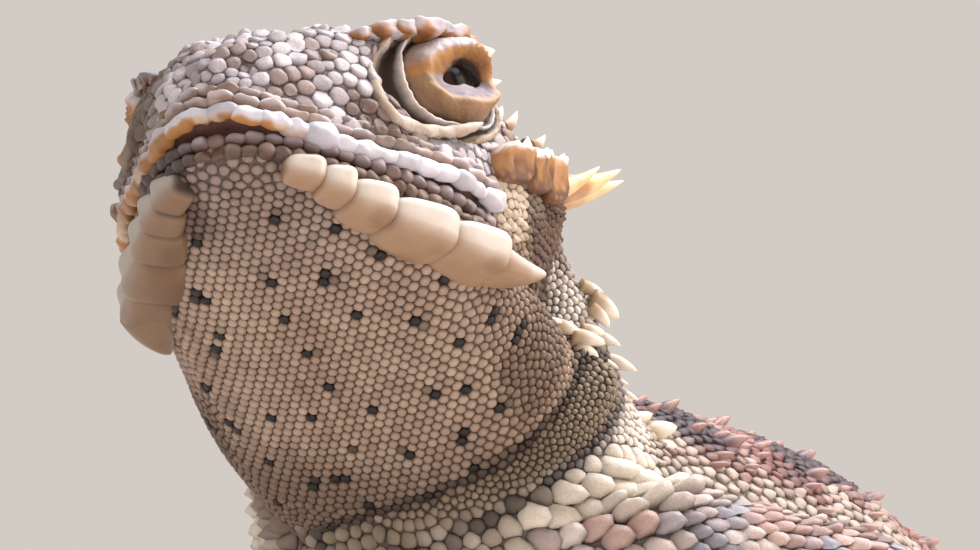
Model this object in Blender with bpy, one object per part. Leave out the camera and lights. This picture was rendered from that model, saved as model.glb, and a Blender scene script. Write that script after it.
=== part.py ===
"""A horned lizard at life size, standing with its head raised and turned a little to its left.

The lizard faces -Y with its left side at +X, and rests on the floor at z = 0. Shapes are worked out in
millimetres and become metres when an object is made. Head shapes are worked out in a head frame:
l to the animal's left, b back from the tip of the chin, u up from the lower edge of the jaw.
"""

import math

import bmesh
import bpy
import numpy as np
from mathutils import Matrix, Vector

MM = 0.001
GAP = 0.32                 # space kept between touching nodes
SINK = 0.55                # how deep the root of a spine goes into the node that it grows from
SPREAD_SEED = 11
FLAT = 1.0                 # angle in degrees below which neighbouring faces become one

# Pose of the head
CHIN = (4.8, -22.0, 37.0)
HEAD_PITCH = 16.6
HEAD_TURN = 12.0
HEAD_ROLL = 4.7

# The whole animal is moved by this much, so that the middle of its box stands on the origin
TO_ORIGIN = (0.0, -39.75, 0.0)

HEAD_END = 22.0            # b where the skull meets the neck
JAW_END = 17.2             # b where the jaw meets the throat

EYE = (6.55, 11.2, 9.6)    # centre of the left eyeball in the head frame
EYE_RADIUS = 2.7
EYE_OUT = (0.90, -0.42, 0.12)
EYE_UP = (0.0, -0.5, 1.0)
LID_RADIUS = 3.25
LID_SLIT = (2.1, 0.8)      # half length and half height of the opening between the lids
ORBIT_DEPTH = 0.9          # how far the skull falls back round the eye

# Skull: b, half widths at lip, cheek and brow, heights at lip, cheek, brow and crown
SKULL = np.array([
    (-1.5, 1.0, 0.9, 0.6, 3.9, 4.5, 5.2, 5.4),
    (-1.0, 2.4, 2.2, 1.6, 3.6, 5.0, 6.4, 6.8),
    (0.4, 4.1, 4.1, 3.3, 3.4, 5.8, 8.3, 8.9),
    (3.0, 6.2, 6.5, 6.0, 3.3, 6.6, 10.7, 11.0),
    (6.0, 8.0, 8.6, 8.4, 3.3, 7.2, 12.3, 12.2),
    (9.5, 9.8, 10.3, 9.2, 3.3, 7.5, 13.5, 12.8),
    (13.0, 10.8, 11.5, 9.3, 3.1, 7.5, 13.6, 13.0),
    (15.0, 11.2, 12.0, 8.7, 2.9, 7.5, 12.4, 12.7),
    (17.0, 11.3, 12.2, 9.2, 2.6, 7.4, 11.2, 12.0),
    (20.0, 10.9, 12.1, 10.0, 2.1, 7.2, 10.4, 11.0),
    (HEAD_END, 9.9, 11.0, 9.4, 1.8, 6.5, 9.7, 10.1),
])

# Jaw and throat: b, half width, height of the rim, lowest point
JAW = np.array([
    (-0.7, 1.0, 2.9, 1.3),
    (-0.3, 2.2, 3.0, 0.8),
    (1.2, 4.3, 2.9, 0.0),
    (4.0, 6.5, 2.8, -1.0),
    (8.0, 8.5, 2.7, -2.5),
    (12.0, 9.9, 2.6, -4.0),
    (JAW_END, 10.7, 2.1, -6.0),
    (20.0, 11.1, 1.6, -7.2),
    (23.5, 11.3, 1.1, -8.6),
    (26.0, 11.1, 0.8, -9.3),
    (27.8, 9.8, 0.2, -9.0),
    (28.7, 7.2, -1.2, -7.0),
])

# Outer rim of the row of pale shields along the jaw: b, half width, height
JAW_RIM = np.array([
    (-0.6, 2.4, 0.4), (0.4, 4.0, 0.2), (1.5, 5.4, -0.1), (3.0, 6.7, -0.4), (5.0, 8.0, -0.7), (8.2, 10.0, -0.7),
    (11.9, 11.8, -0.6), (14.0, 12.4, -0.4),
])
# Each shield: b where it starts and ends, half its reach and half its thickness
JAW_SHIELDS = ((-0.4, 0.8, 0.8, 0.6), (0.8, 2.0, 0.95, 0.7), (2.0, 3.3, 1.1, 0.8), (3.3, 5.0, 1.3, 0.9),
               (5.0, 8.2, 1.6, 1.05), (8.2, 11.9, 1.75, 1.1))

# Neck, trunk and tail: centre x, y, z, downward pitch, turn, half width, height above and below the centre
NECK_START = (0.0, HEAD_END + GAP, 5.5)
TRUNK = np.array([
    (0.0, 0.0, 0.0, HEAD_PITCH, HEAD_TURN, 10.4, 4.8, 5.2),
    (0.4, 3.4, 28.8, 47.0, 5.0, 11.8, 6.4, 6.6),
    (0.0, 7.0, 21.8, 32.0, 0.0, 14.2, 9.8, 9.5),
    (0.0, 14.5, 18.2, 15.0, 0.0, 18.0, 12.4, 9.9),
    (0.0, 26.0, 14.9, 14.0, 0.0, 21.6, 14.0, 10.0),
    (0.0, 38.0, 11.9, 14.0, 0.0, 21.2, 13.4, 9.8),
    (0.0, 49.0, 9.2, 13.0, 0.0, 16.2, 11.0, 8.9),
    (0.0, 57.5, 7.4, 12.0, 0.0, 10.2, 8.3, 7.4),
    (0.0, 64.0, 6.0, 11.0, -2.0, 7.0, 5.7, 6.0),
    (0.7, 73.0, 4.4, 8.0, -8.0, 4.9, 3.8, 4.6),
    (2.6, 83.0, 3.0, 6.0, -14.0, 3.2, 2.5, 3.2),
    (5.4, 92.0, 2.0, 5.0, -20.0, 1.9, 1.5, 2.2),
    (8.0, 98.5, 1.3, 4.0, -22.0, 1.0, 0.9, 1.5),
    (9.5, 102.2, 0.8, 4.0, -22.0, 0.3, 0.3, 0.9),
])
TORSO_START, TORSO_END = 1.75, 8.0
TAIL_CUTS = (8.0, 9.6, 11.2, 13.0)

# Limbs of the left side: points along each length, with the half thickness across and upright at each
UPPER_ARM = np.array([(8.5, 4.6, 18.6, 3.6, 4.0), (15.5, 5.4, 18.6, 3.5, 3.9), (21.0, 7.6, 17.9, 3.1, 3.3),
                      (25.4, 9.6, 16.9, 2.9, 3.0)])
FOREARM = np.array([(25.6, 9.2, 16.4, 2.6, 2.7), (26.6, 6.0, 12.4, 2.5, 2.6), (27.4, 2.6, 8.2, 2.1, 1.9),
                    (27.9, 0.2, 4.6, 1.8, 1.5)])
PALM = np.array([(27.9, 0.6, 4.2, 1.7, 1.4), (28.5, -1.6, 2.0, 2.3, 1.3), (29.3, -3.8, 1.3, 2.1, 1.0)])
THIGH = np.array([(7.0, 52.5, 8.8, 4.2, 4.4), (14.0, 49.5, 11.2, 4.4, 4.6), (20.0, 45.6, 13.0, 3.7, 4.0),
                  (24.6, 42.8, 13.4, 3.1, 3.3)])
SHIN = np.array([(24.8, 43.2, 13.0, 2.8, 3.0), (25.2, 47.6, 10.6, 2.9, 3.0), (24.8, 52.6, 7.2, 2.2, 2.2),
                 (24.4, 56.4, 4.2, 1.8, 1.7)])
SOLE = np.array([(24.3, 56.6, 3.6, 1.8, 1.6), (25.8, 55.0, 1.8, 2.2, 1.5), (28.0, 52.2, 1.3, 2.4, 1.1)])
# Each digit: turn from straight ahead, length, half thickness
FINGERS = ((62.0, 4.6, 0.72), (40.0, 5.8, 0.76), (18.0, 6.4, 0.78), (-6.0, 5.8, 0.74), (-38.0, 4.4, 0.70))
TOES = ((2.0, 4.2, 0.74), (16.0, 6.2, 0.78), (30.0, 8.2, 0.80), (46.0, 9.4, 0.80), (76.0, 5.2, 0.72))
CLAW_LENGTH = 1.9

# Horns of the left side, in the head frame: root, tip, radius at the root
HORNS = {
    "horn_occipital": ((4.2, 20.4, 9.6), (6.2, 28.4, 13.4), 2.1),
    "horn_temporal_rear": ((7.9, 20.7, 8.6), (12.6, 28.0, 12.4), 1.75),
    "horn_temporal_middle": ((10.5, 19.2, 8.1), (13.5, 24.6, 11.2), 1.5),
    "horn_temporal_front": ((11.3, 16.8, 7.4), (13.4, 20.9, 9.4), 1.4),
}

# Shields of the left temple, in the head frame: b, l, u and size
TEMPLE = ((14.6, 11.0, 8.9, 1.1), (16.8, 11.5, 8.8, 1.25), (19.0, 11.6, 9.1, 1.2), (16.4, 12.0, 5.8, 0.9))

SKIN_TAN = (0.60, 0.46, 0.34)
SKIN_PALE = (0.72, 0.62, 0.50)
SKIN_BACK = (0.52, 0.36, 0.30)
HORN_CREAM = (0.80, 0.68, 0.48)
EYE_DARK = (0.03, 0.02, 0.02)


def slopes(x, y):
    """Slope at each station for a cubic that doesn't overshoot (weighted harmonic mean of neighbours)."""
    step = np.diff(x)[:, None]
    rise = np.diff(y, axis=0) / step
    inner = np.zeros_like(y[1:-1])
    same = rise[:-1] * rise[1:] > 0
    w1 = 2 * step[1:] + step[:-1]
    w2 = step[1:] + 2 * step[:-1]
    safe_low = np.where(same, rise[:-1], 1.0)
    safe_high = np.where(same, rise[1:], 1.0)
    inner = np.where(same, (w1 + w2) / (w1 / safe_low + w2 / safe_high), 0.0)
    return np.vstack([rise[:1], inner, rise[-1:]])


def curve(x, y, t):
    """Smooth curve through the stations y at x, read at t: a cubic Hermite in each interval."""
    x = np.asarray(x, float)
    y = np.asarray(y, float).reshape(len(x), -1)
    t = np.clip(np.asarray(t, float).ravel(), x[0], x[-1])
    k = np.clip(np.searchsorted(x, t, side="right") - 1, 0, len(x) - 2)
    step = (x[k + 1] - x[k])[:, None]
    p = ((t - x[k])[:, None]) / step
    m = slopes(x, y)
    return ((1 + 2 * p) * (1 - p) ** 2 * y[k] + p * (1 - p) ** 2 * step * m[k]
            + p * p * (3 - 2 * p) * y[k + 1] + p * p * (p - 1) * step * m[k + 1])


def head_matrix():
    """Rotation from the head frame (l, b, u) to the world."""
    return np.array(Matrix.Rotation(math.radians(HEAD_TURN), 3, "Z")
                    @ Matrix.Rotation(math.radians(-HEAD_PITCH), 3, "X")
                    @ Matrix.Rotation(math.radians(-HEAD_ROLL), 3, "Y"))


def head_to_world(points):
    return np.asarray(points, float) @ head_matrix().T + np.array(CHIN)


def power(value, exponent):
    return np.sign(value) * np.abs(value) ** exponent


def skull_section(b, around, grow=0.0):
    """One ring of the skull at b: half profile through floor, lip, cheek, brow and crown, then its mirror."""
    lip, cheek, brow, z_lip, z_cheek, z_brow, z_crown = curve(SKULL[:, 0], SKULL[:, 1:], b)[0]
    stops = np.array([0.0, 0.2, 0.3, 0.5, 0.72, 0.86, 1.0])
    side = np.array([(0.0, z_lip), (lip * 0.93, z_lip), (lip, z_lip + 0.7), (cheek, z_cheek),
                     (brow, z_brow - 0.5), (brow * 0.62, 0.5 * (z_brow + z_crown) + 0.25), (0.0, z_crown)])
    half = curve(stops, side, np.abs(around))
    left = half[:, 0] * np.sign(around)
    middle = 0.5 * (z_lip + z_crown)
    orbit = orbit_depth(np.abs(left), b, half[:, 1])
    out = np.column_stack([left, half[:, 1] - middle])
    length = np.maximum(np.linalg.norm(out, axis=1), 1e-6)[:, None]
    out = out * (1 + grow / length)
    return np.column_stack([out[:, 0] + np.sign(around) * -orbit, np.full(len(around), b), out[:, 1] + middle])


def orbit_depth(l, b, u):
    """How far the side of the skull falls back round the eye."""
    far = (b - EYE[1] + 1.2) ** 2 + (u - EYE[2]) ** 2
    return ORBIT_DEPTH * np.exp(-far / (2 * 2.4 ** 2)) * (l > 4)


def jaw_section(b, angle, grow=0.0):
    """One ring of the jaw and throat at b: a flat-topped bowl, deepest in the middle."""
    width, rim, low = curve(JAW[:, 0], JAW[:, 1:], b)[0]
    middle = rim - 0.30 * (rim - low)
    side, up = np.cos(angle), np.sin(angle)
    left = (width + grow) * power(side, 0.80)
    height = np.where(up > 0, (rim - middle + grow) * power(up, 0.45), (middle - low + grow) * power(up, 0.95))
    return np.column_stack([left, np.full(len(angle), b), middle + height])


def trunk_rows():
    rows = TRUNK.copy()
    rows[0, :3] = head_to_world(NECK_START)
    return rows


def trunk_ring(s, angle, grow=0.0):
    """One ring of the neck, trunk and tail at station s: angle 0 is the left edge and 90 degrees the back."""
    row = curve(np.arange(len(TRUNK)), trunk_rows(), s)[0]
    centre, width, top, bottom = row[:3], row[5] + grow, row[6] + grow, row[7] + grow
    pitch, turn = math.radians(row[3]), math.radians(row[4])
    roll = math.radians(HEAD_ROLL) * max(0.0, 1 - s / 1.6)
    along = np.array([-math.sin(turn) * math.cos(pitch), math.cos(turn) * math.cos(pitch), -math.sin(pitch)])
    flat_left = np.array([math.cos(turn), math.sin(turn), 0.0])
    flat_up = np.cross(flat_left, along)
    left = flat_left * math.cos(roll) + flat_up * math.sin(roll)
    up = flat_up * math.cos(roll) - flat_left * math.sin(roll)
    side, rise = np.cos(angle), np.sin(angle)
    x = width * power(side, 0.86)
    z = np.where(rise > 0, top * power(rise, 0.92), bottom * power(rise, 0.80))
    points = centre + x[:, None] * left + z[:, None] * up
    if grow == 0.0:
        points[:, 2] = np.maximum(points[:, 2], 0.0)
    return points


def trunk_frame(s, degrees):
    """Point on the trunk's skin, outward normal and direction towards the tail."""
    angle = math.radians(degrees)
    here = trunk_ring(s, np.array([angle, angle + 0.02]))
    behind = trunk_ring(min(s + 0.03, 13.0), np.array([angle]))[0]
    along = Vector(behind - here[0]).normalized()
    normal = Vector(here[1] - here[0]).cross(Vector(behind - here[0])).normalized()
    centre = trunk_ring(s, np.radians([0.0, 90.0, 180.0, 270.0])).mean(axis=0)
    if normal.dot(Vector(here[0] - centre)) < 0:
        normal = -normal
    return Vector(here[0]), normal, along


def mesh_object(name, points, faces, collection=None):
    """Object from points in millimetres, moved so that the middle of the animal's box is the origin."""
    mesh = bpy.data.meshes.new(name)
    placed = (np.asarray(points, float) + np.array(TO_ORIGIN)) * MM
    mesh.from_pydata(placed.tolist(), [], faces)
    obj = bpy.data.objects.new(name, mesh)
    (collection or bpy.context.scene.collection).objects.link(obj)
    return obj


def loft(name, rings, collection=None):
    """Closed tube over rings that have the same number of points, each end closed by one face."""
    count, size = len(rings), len(rings[0])
    faces = []
    for i in range(count - 1):
        for j in range(size):
            k = (j + 1) % size
            faces.append((i * size + j, i * size + k, (i + 1) * size + k, (i + 1) * size + j))
    faces.append(tuple(range(size))[::-1])
    faces.append(tuple(range((count - 1) * size, count * size)))
    obj = mesh_object(name, np.vstack(rings), faces, collection)
    tidy(obj)
    return obj


def face_outwards(cage):
    if cage.calc_volume(signed=True) < 0:
        bmesh.ops.reverse_faces(cage, faces=cage.faces)


def tidy(obj):
    """Merges doubles, splits every face into triangles and points them outwards."""
    cage = bmesh.new()
    cage.from_mesh(obj.data)
    bmesh.ops.remove_doubles(cage, verts=cage.verts, dist=0.00002)
    bmesh.ops.dissolve_degenerate(cage, edges=cage.edges, dist=0.00001)
    bmesh.ops.triangulate(cage, faces=cage.faces)
    face_outwards(cage)
    cage.to_mesh(obj.data)
    cage.free()


def skull_loft(name, grow=0.0, collection=None):
    rows = np.array([-1.5, -1.0, -0.4, 0.6, 2.2, 4.0, 6.0, 8.0, 10.0, 12.0, 13.6, 15.4, 17.4, 19.6, HEAD_END])
    half = np.array([0.12, 0.2, 0.26, 0.34, 0.44, 0.53, 0.62, 0.7, 0.77, 0.85, 0.93])
    around = np.concatenate([[1e-6], half, [1.0], -half[::-1]])
    return loft(name, [head_to_world(skull_section(b, around, grow)) for b in rows], collection)


def jaw_loft(name, first, last, count, collection=None):
    spots = np.linspace(first, last, count)
    angle = np.linspace(0, 2 * math.pi, 24, endpoint=False)
    return loft(name, [head_to_world(jaw_section(b, angle)) for b in spots], collection)


def trunk_loft(name, first, last, count, sides, grow=0.0, collection=None):
    angle = np.linspace(0, 2 * math.pi, sides, endpoint=False)
    return loft(name, [trunk_ring(s, angle, grow) for s in np.linspace(first, last, count)], collection)


def limb_rings(table, side, rings, sides, grow=0.0, dome=(0.1, 35.0, 65.0)):
    """Rings of a limb length along its points, with a dome at each end."""
    spots = np.arange(len(table), dtype=float)
    dome = np.radians(dome)
    t = np.linspace(0, spots[-1], rings)
    rows = curve(spots, table, t)
    nearby = curve(spots, table[:, :3], np.clip(t + 0.05, 0, spots[-1]))
    before = curve(spots, table[:, :3], np.clip(t - 0.05, 0, spots[-1]))
    found = []
    angle = np.linspace(0, 2 * math.pi, sides, endpoint=False)
    for k in range(rings):
        along = Vector(nearby[k] - before[k]).normalized()
        across = along.cross(Vector((0, 0, 1))).normalized()
        upright = across.cross(along).normalized()
        steps = [(0.0, 1.0)]
        if k == 0:
            steps = [(-math.cos(a), math.sin(a)) for a in dome] + steps
        if k == rings - 1:
            steps = steps + [(math.cos(a), math.sin(a)) for a in dome[::-1]]
        wide, tall = rows[k, 3] + grow, rows[k, 4] + grow
        for push, share in steps:
            centre = Vector(rows[k, :3]) + along * push * min(wide, tall)
            ring = [centre + across * math.cos(a) * wide * share + upright * math.sin(a) * tall * share
                    for a in angle]
            found.append(np.array(ring))
    return [ring * np.array([side, 1, 1]) for ring in found]


def limb(name, table, side, rings=7, sides=12, grow=0.0, collection=None, dome=(0.1, 35.0, 65.0)):
    return loft(name, limb_rings(table, side, rings, sides, grow, dome), collection)


def spike(root, tip, radius, collection, sides=6, flat=1.0):
    """Pointed spine from root to tip, sunk a little at the root; flat narrows it upright."""
    root, tip = Vector(root), Vector(tip)
    along = (tip - root).normalized()
    start = root - along * SINK
    length = (tip - start).length
    cage = bmesh.new()
    bmesh.ops.create_cone(cage, cap_ends=True, segments=sides, radius1=radius, radius2=0.0, depth=length)
    cage.transform(Matrix.Translation((0, 0, length / 2)))
    cage.transform(Matrix.Diagonal((1.0, flat, 1.0, 1.0)))
    across = along.cross(Vector((0, 0, 1)))
    across = across.normalized() if across.length > 1e-3 else Vector((1, 0, 0))
    turn = Matrix((across, along.cross(across), along)).transposed().to_4x4()
    cage.transform(Matrix.Translation(start + Vector(TO_ORIGIN)) @ turn)
    face_outwards(cage)
    cage.transform(Matrix.Scale(MM, 4))
    mesh = bpy.data.meshes.new("spine")
    cage.to_mesh(mesh)
    cage.free()
    obj = bpy.data.objects.new("spine", mesh)
    collection.objects.link(obj)
    return obj


def boss(centre, axes, collection, sides=8, rows=5):
    """Rounded plate: a ball stretched along three axes given as vectors with their half lengths."""
    cage = bmesh.new()
    bmesh.ops.create_uvsphere(cage, u_segments=sides, v_segments=rows, radius=1.0)
    frame = Matrix([Vector(a) for a in axes]).transposed().to_4x4()
    cage.transform(Matrix.Translation(Vector(centre) + Vector(TO_ORIGIN)) @ frame)
    face_outwards(cage)
    cage.transform(Matrix.Scale(MM, 4))
    mesh = bpy.data.meshes.new("boss")
    cage.to_mesh(mesh)
    cage.free()
    obj = bpy.data.objects.new("boss", mesh)
    collection.objects.link(obj)
    return obj


def split_faces(mesh, merge_flat=False):
    """Splits every face into triangles, after joining those that lie in one plane if asked."""
    cage = bmesh.new()
    cage.from_mesh(mesh)
    if merge_flat:
        bmesh.ops.dissolve_limit(cage, angle_limit=math.radians(FLAT), verts=cage.verts, edges=cage.edges)
    bmesh.ops.triangulate(cage, faces=cage.faces)
    cage.to_mesh(mesh)
    cage.free()


def largest_body(obj):
    """Keeps the largest closed surface of a mesh, which drops loose scraps and sealed hollows."""
    cage = bmesh.new()
    cage.from_mesh(obj.data)
    seen, bodies = set(), []
    for seed in cage.faces:
        if seed in seen:
            continue
        body, waiting = [], [seed]
        seen.add(seed)
        while waiting:
            face = waiting.pop()
            body.append(face)
            for edge in face.edges:
                for other in edge.link_faces:
                    if other not in seen:
                        seen.add(other)
                        waiting.append(other)
        bodies.append(body)
    bodies.sort(key=lambda body: sum(face.calc_area() for face in body))
    doomed = [face for body in bodies[:-1] for face in body]
    bmesh.ops.delete(cage, geom=doomed, context="FACES")
    cage.to_mesh(obj.data)
    cage.free()


def helper_collection(name):
    found = bpy.data.collections.new(name)
    bpy.context.scene.collection.children.link(found)
    return found


def combine(obj, pieces, operation, split_each=False):
    """Boolean of obj with each object of the collection in turn; the pieces are then removed."""
    for piece in list(pieces.objects):
        modifier = obj.modifiers.new(operation.title(), "BOOLEAN")
        modifier.operation = operation
        modifier.object = piece
        modifier.solver = "EXACT"
        bpy.context.view_layer.update()
        evaluated = obj.evaluated_get(bpy.context.evaluated_depsgraph_get())
        joined = bpy.data.meshes.new_from_object(evaluated)
        obj.modifiers.clear()
        obj.data = joined
        joined.name = obj.name
        if split_each:
            split_faces(joined)
        bpy.data.objects.remove(piece)
    bpy.data.collections.remove(pieces)
    split_faces(obj.data, merge_flat=True)
    largest_body(obj)
    return obj


def finish(obj, colour, roughness=0.7):
    material = bpy.data.materials.get(obj.name) or bpy.data.materials.new(obj.name)
    material.use_nodes = True
    shader = material.node_tree.nodes["Principled BSDF"]
    shader.inputs["Base Color"].default_value = (*colour, 1.0)
    shader.inputs["Roughness"].default_value = roughness
    shader.inputs["Metallic"].default_value = 0.0
    obj.data.materials.clear()
    obj.data.materials.append(material)
    obj.data.shade_smooth()
    obj.data.set_sharp_from_angle(angle=math.radians(40))
    return obj


def level_off(obj):
    """Cuts away what reaches below the floor, which leaves small flats for it to rest on."""
    floor = helper_collection("floor")
    cage = bmesh.new()
    bmesh.ops.create_cube(cage, size=0.4)
    cage.transform(Matrix.Translation((0, 0, -0.2)))
    mesh = bpy.data.meshes.new("floor")
    cage.to_mesh(mesh)
    cage.free()
    floor.objects.link(bpy.data.objects.new("floor", mesh))
    return combine(obj, floor, "DIFFERENCE")


def mirrored(point, side):
    return (point[0] * side, point[1], point[2])


def head_vector(vector):
    return head_matrix() @ np.array(vector, float)


def make_head():
    """Skull with brows, lids, snout plates and small horns, cut out for the eyes and nostrils."""
    head = skull_loft("head")
    pieces = helper_collection("head_pieces")
    for side in (-1, 1):
        add_lids(side, pieces)
        add_brow_and_temple(side, pieces)
    add_crown_plates(pieces)
    combine(head, pieces, "UNION", split_each=True)
    holes = helper_collection("head_holes")
    for side in (-1, 1):
        eye = head_to_world(mirrored(EYE, side))
        r = EYE_RADIUS + GAP
        boss(eye, [(r, 0, 0), (0, r, 0), (0, 0, r)], holes, sides=10, rows=6)
        add_slit(side, holes)
        nostril = head_to_world((1.7 * side, -0.9, 7.0))
        boss(nostril, [(0.42, 0, 0), (0, 0.7, 0), (0, 0, 0.36)], holes, sides=6, rows=4)
    combine(head, holes, "DIFFERENCE", split_each=True)
    return finish(head, SKIN_TAN)


def eye_axes(side):
    """Directions at the eye in the head frame: out of the socket, along the slit and up."""
    out = Vector(mirrored(EYE_OUT, side)).normalized()
    up = Vector(mirrored(EYE_UP, side))
    up = (up - out * up.dot(out)).normalized()
    return out, out.cross(up).normalized(), up


def add_lids(side, pieces):
    """Thick ring of the two lids round the slit, standing a little proud of the socket."""
    out, along, up = eye_axes(side)
    centre = Vector(mirrored(EYE, side))
    world = [head_vector(v) for v in (out, along, up)]
    boss(head_to_world(centre + out * 0.1), [world[0] * 3.5, world[1] * LID_RADIUS * 1.12,
                                             world[2] * LID_RADIUS], pieces, sides=10, rows=6)
    for tilt, reach, thick in ((1.05, 3.15, 0.62), (-1.0, 3.3, 0.75)):
        lid = centre + out * reach + up * tilt
        boss(head_to_world(lid), [world[0] * 0.9, world[1] * 2.7, world[2] * thick], pieces, sides=8, rows=4)


def add_slit(side, holes):
    """Almond-shaped opening between the lids, through to the eyeball."""
    out, along, up = eye_axes(side)
    centre = Vector(mirrored(EYE, side)) + out * 3.4
    world = [head_vector(v) for v in (out, along, up)]
    boss(head_to_world(centre), [world[0] * 2.4, world[1] * LID_SLIT[0], world[2] * LID_SLIT[1]],
         holes, sides=8, rows=4)


def add_brow_and_temple(side, pieces):
    """Ridge of brow scales ending in a small spine, the shields of the temple and the scales of the lip."""
    for b, l, u, r in ((5.2, 7.3, 11.2, 1.2), (8.0, 8.7, 12.6, 1.3), (10.9, 9.0, 13.3, 1.2)):
        axes = [head_vector(mirrored(v, side)) for v in ((0.95 * r, 0, -0.2), (0.4, 1.3 * r, 0.5), (0, 0, 0.7 * r))]
        boss(head_to_world((l * side, b, u)), axes, pieces, sides=6, rows=3)
    spike(head_to_world((8.8 * side, 12.5, 13.0)), head_to_world((10.0 * side, 14.3, 13.9)), 0.95, pieces)
    add_temple(side, pieces)
    for b in (1.2, 3.8, 6.6, 9.6):
        width, height = curve(SKULL[:, 0], SKULL[:, [1, 4]], b)[0]
        axes = [head_vector(v) for v in ((0.5, 0, 0), (0, 1.05, 0), (0, 0, 0.55))]
        boss(head_to_world((width * side, b, height + 0.75)), axes, pieces, sides=5, rows=3)


def add_temple(side, pieces, grow=0.0):
    """Raised shields of the temple, in front of the horns."""
    for b, l, u, r in TEMPLE:
        axes = [head_vector(v) for v in ((0.6 * r + grow, 0, 0), (0, 1.2 * r + grow, 0), (0, 0, r + grow))]
        boss(head_to_world((l * side, b, u)), axes, pieces, sides=6, rows=3)


def add_crown_plates(pieces):
    """Raised plates on the snout and crown, and the small middle horn at the back of the skull."""
    spread = np.random.default_rng(SPREAD_SEED)
    for b, places in ((3.2, (-2.2, 2.2)), (6.4, (-4.4, 0.0, 4.4)), (9.8, (-2.6, 2.6)), (13.4, (-4.9, 0.0, 4.9)),
                      (16.8, (-3.2, 3.2))):
        brow_width, brow, crown = curve(SKULL[:, 0], SKULL[:, [3, 6, 7]], b)[0]
        for l in places:
            shoulder = 0.5 * (brow + crown) + 0.25
            height = crown + (shoulder - crown) * min(1.0, abs(l) / (0.62 * brow_width)) - 0.2
            r = 1.25 + 0.2 * spread.random()
            axes = [head_vector(v) for v in ((r, 0, 0), (0, r, 0), (0, 0, 0.62))]
            boss(head_to_world((l, b, height)), axes, pieces, sides=5, rows=3)
    spike(head_to_world((0, 19.6, 10.6)), head_to_world((0, 22.2, 13.0)), 0.9, pieces)


def make_eyes():
    for side, name in ((1, "eye_left"), (-1, "eye_right")):
        found = helper_collection(name + "_part")
        axes = [(EYE_RADIUS, 0, 0), (0, EYE_RADIUS, 0), (0, 0, EYE_RADIUS)]
        eye = boss(head_to_world(mirrored(EYE, side)), axes, found, sides=10, rows=7)
        eye.name = name
        bpy.context.scene.collection.objects.link(eye)
        bpy.data.collections.remove(found)
        finish(eye, EYE_DARK, 0.1)


def horn_rings(root, tip, radius, sides=8, rings=5):
    """Rings of a horn that curves up a little from root to tip, in the head frame."""
    root, tip = Vector(root), Vector(tip)
    along = (tip - root).normalized()
    start = root - along * 2.2
    length = (tip - start).length
    across = along.cross(Vector((0, 0, 1))).normalized()
    upright = across.cross(along).normalized()
    found = []
    for t in np.linspace(0, 1, rings):
        share = (1 - t) ** 0.8 * (1 - 0.05 * t) + 0.04
        centre = start + along * length * t - upright * 0.7 * math.sin(math.pi * t)
        ring = [centre + (across * math.cos(a) + upright * math.sin(a) * 0.85) * radius * share
                for a in np.linspace(0, 2 * math.pi, sides, endpoint=False)]
        found.append(head_to_world(np.array(ring)))
    return found


def make_horns():
    """Horns as nodes of their own, each cut clear of the skull that it grows from."""
    for side, word in ((1, "left"), (-1, "right")):
        for name, (root, tip, radius) in HORNS.items():
            horn = loft(f"{name}_{word}", horn_rings(mirrored(root, side), mirrored(tip, side), radius))
            cutters = helper_collection("horn_cutters")
            skull_loft("skull_cutter", GAP, cutters)
            trunk_loft("neck_cutter", 0.0, 1.0, 7, 32, GAP, cutters)
            add_temple(side, cutters, 1.3 * GAP)
            combine(horn, cutters, "DIFFERENCE")
            finish(horn, HORN_CREAM, 0.45)


def add_shield(front, rear, reach, thick, side, pieces):
    """One pale shield of the jaw between two points of the rim, flaring out like a shelf."""
    first, last = (Vector((*curve(JAW_RIM[:, 0], JAW_RIM[:, 1:2], b)[0], b, 0)) for b in (front, rear))
    lie = (last - first).normalized()
    away = Vector((lie.y, -lie.x, 0))
    height = curve(JAW_RIM[:, 0], JAW_RIM[:, 2:], 0.5 * (front + rear))[0, 0]
    centre = 0.5 * (first + last) - away * (reach - 0.15) + Vector((0, 0, height))
    axes = [head_vector(mirrored(v, side)) for v in (away * reach, lie * 0.56 * (last - first).length,
                                                     Vector((0, 0, thick)))]
    boss(head_to_world(mirrored(centre, side)), axes, pieces, sides=7, rows=4)


def make_jaw():
    """Lower jaw with its row of flaring shields, each larger than the last, and the spine at the corner."""
    jaw = jaw_loft("lower_jaw", -0.7, JAW_END, 12)
    pieces = helper_collection("jaw_pieces")
    for side in (-1, 1):
        for front, rear, reach, thick in JAW_SHIELDS:
            add_shield(front, rear, reach, thick, side, pieces)
        spike(head_to_world((9.7 * side, 12.6, -0.5)), head_to_world((12.5 * side, 16.6, 0.0)), 1.5, pieces, 7)
    combine(jaw, pieces, "UNION")
    return finish(jaw, SKIN_PALE)


def make_throat():
    """Loose throat behind the jaw, ending in the fold that hangs over the chest."""
    throat = jaw_loft("throat", JAW_END + GAP, 28.7, 9)
    cutters = helper_collection("throat_cutters")
    trunk_loft("trunk_cutter", 0.0, 3.2, 14, 28, GAP, cutters)
    skull_loft("skull_cutter", GAP, cutters)
    combine(throat, cutters, "DIFFERENCE")
    return finish(throat, SKIN_PALE)


def near_limb(root, tip, radius):
    """True when a spine from root to tip would come too close to a limb of either side."""
    for table in (UPPER_ARM, FOREARM, THIGH, SHIN):
        rows = curve(np.arange(len(table)), table, np.linspace(0, len(table) - 1, 25))
        for share in (0.0, 0.5, 1.0):
            point = np.array(root.lerp(tip, share))
            point[0] = abs(point[0])
            reach = np.linalg.norm(rows[:, :3] - point, axis=1) - rows[:, 3:].max(axis=1)
            if reach.min() < radius * (1 - share) + GAP:
                return True
    return False


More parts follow.
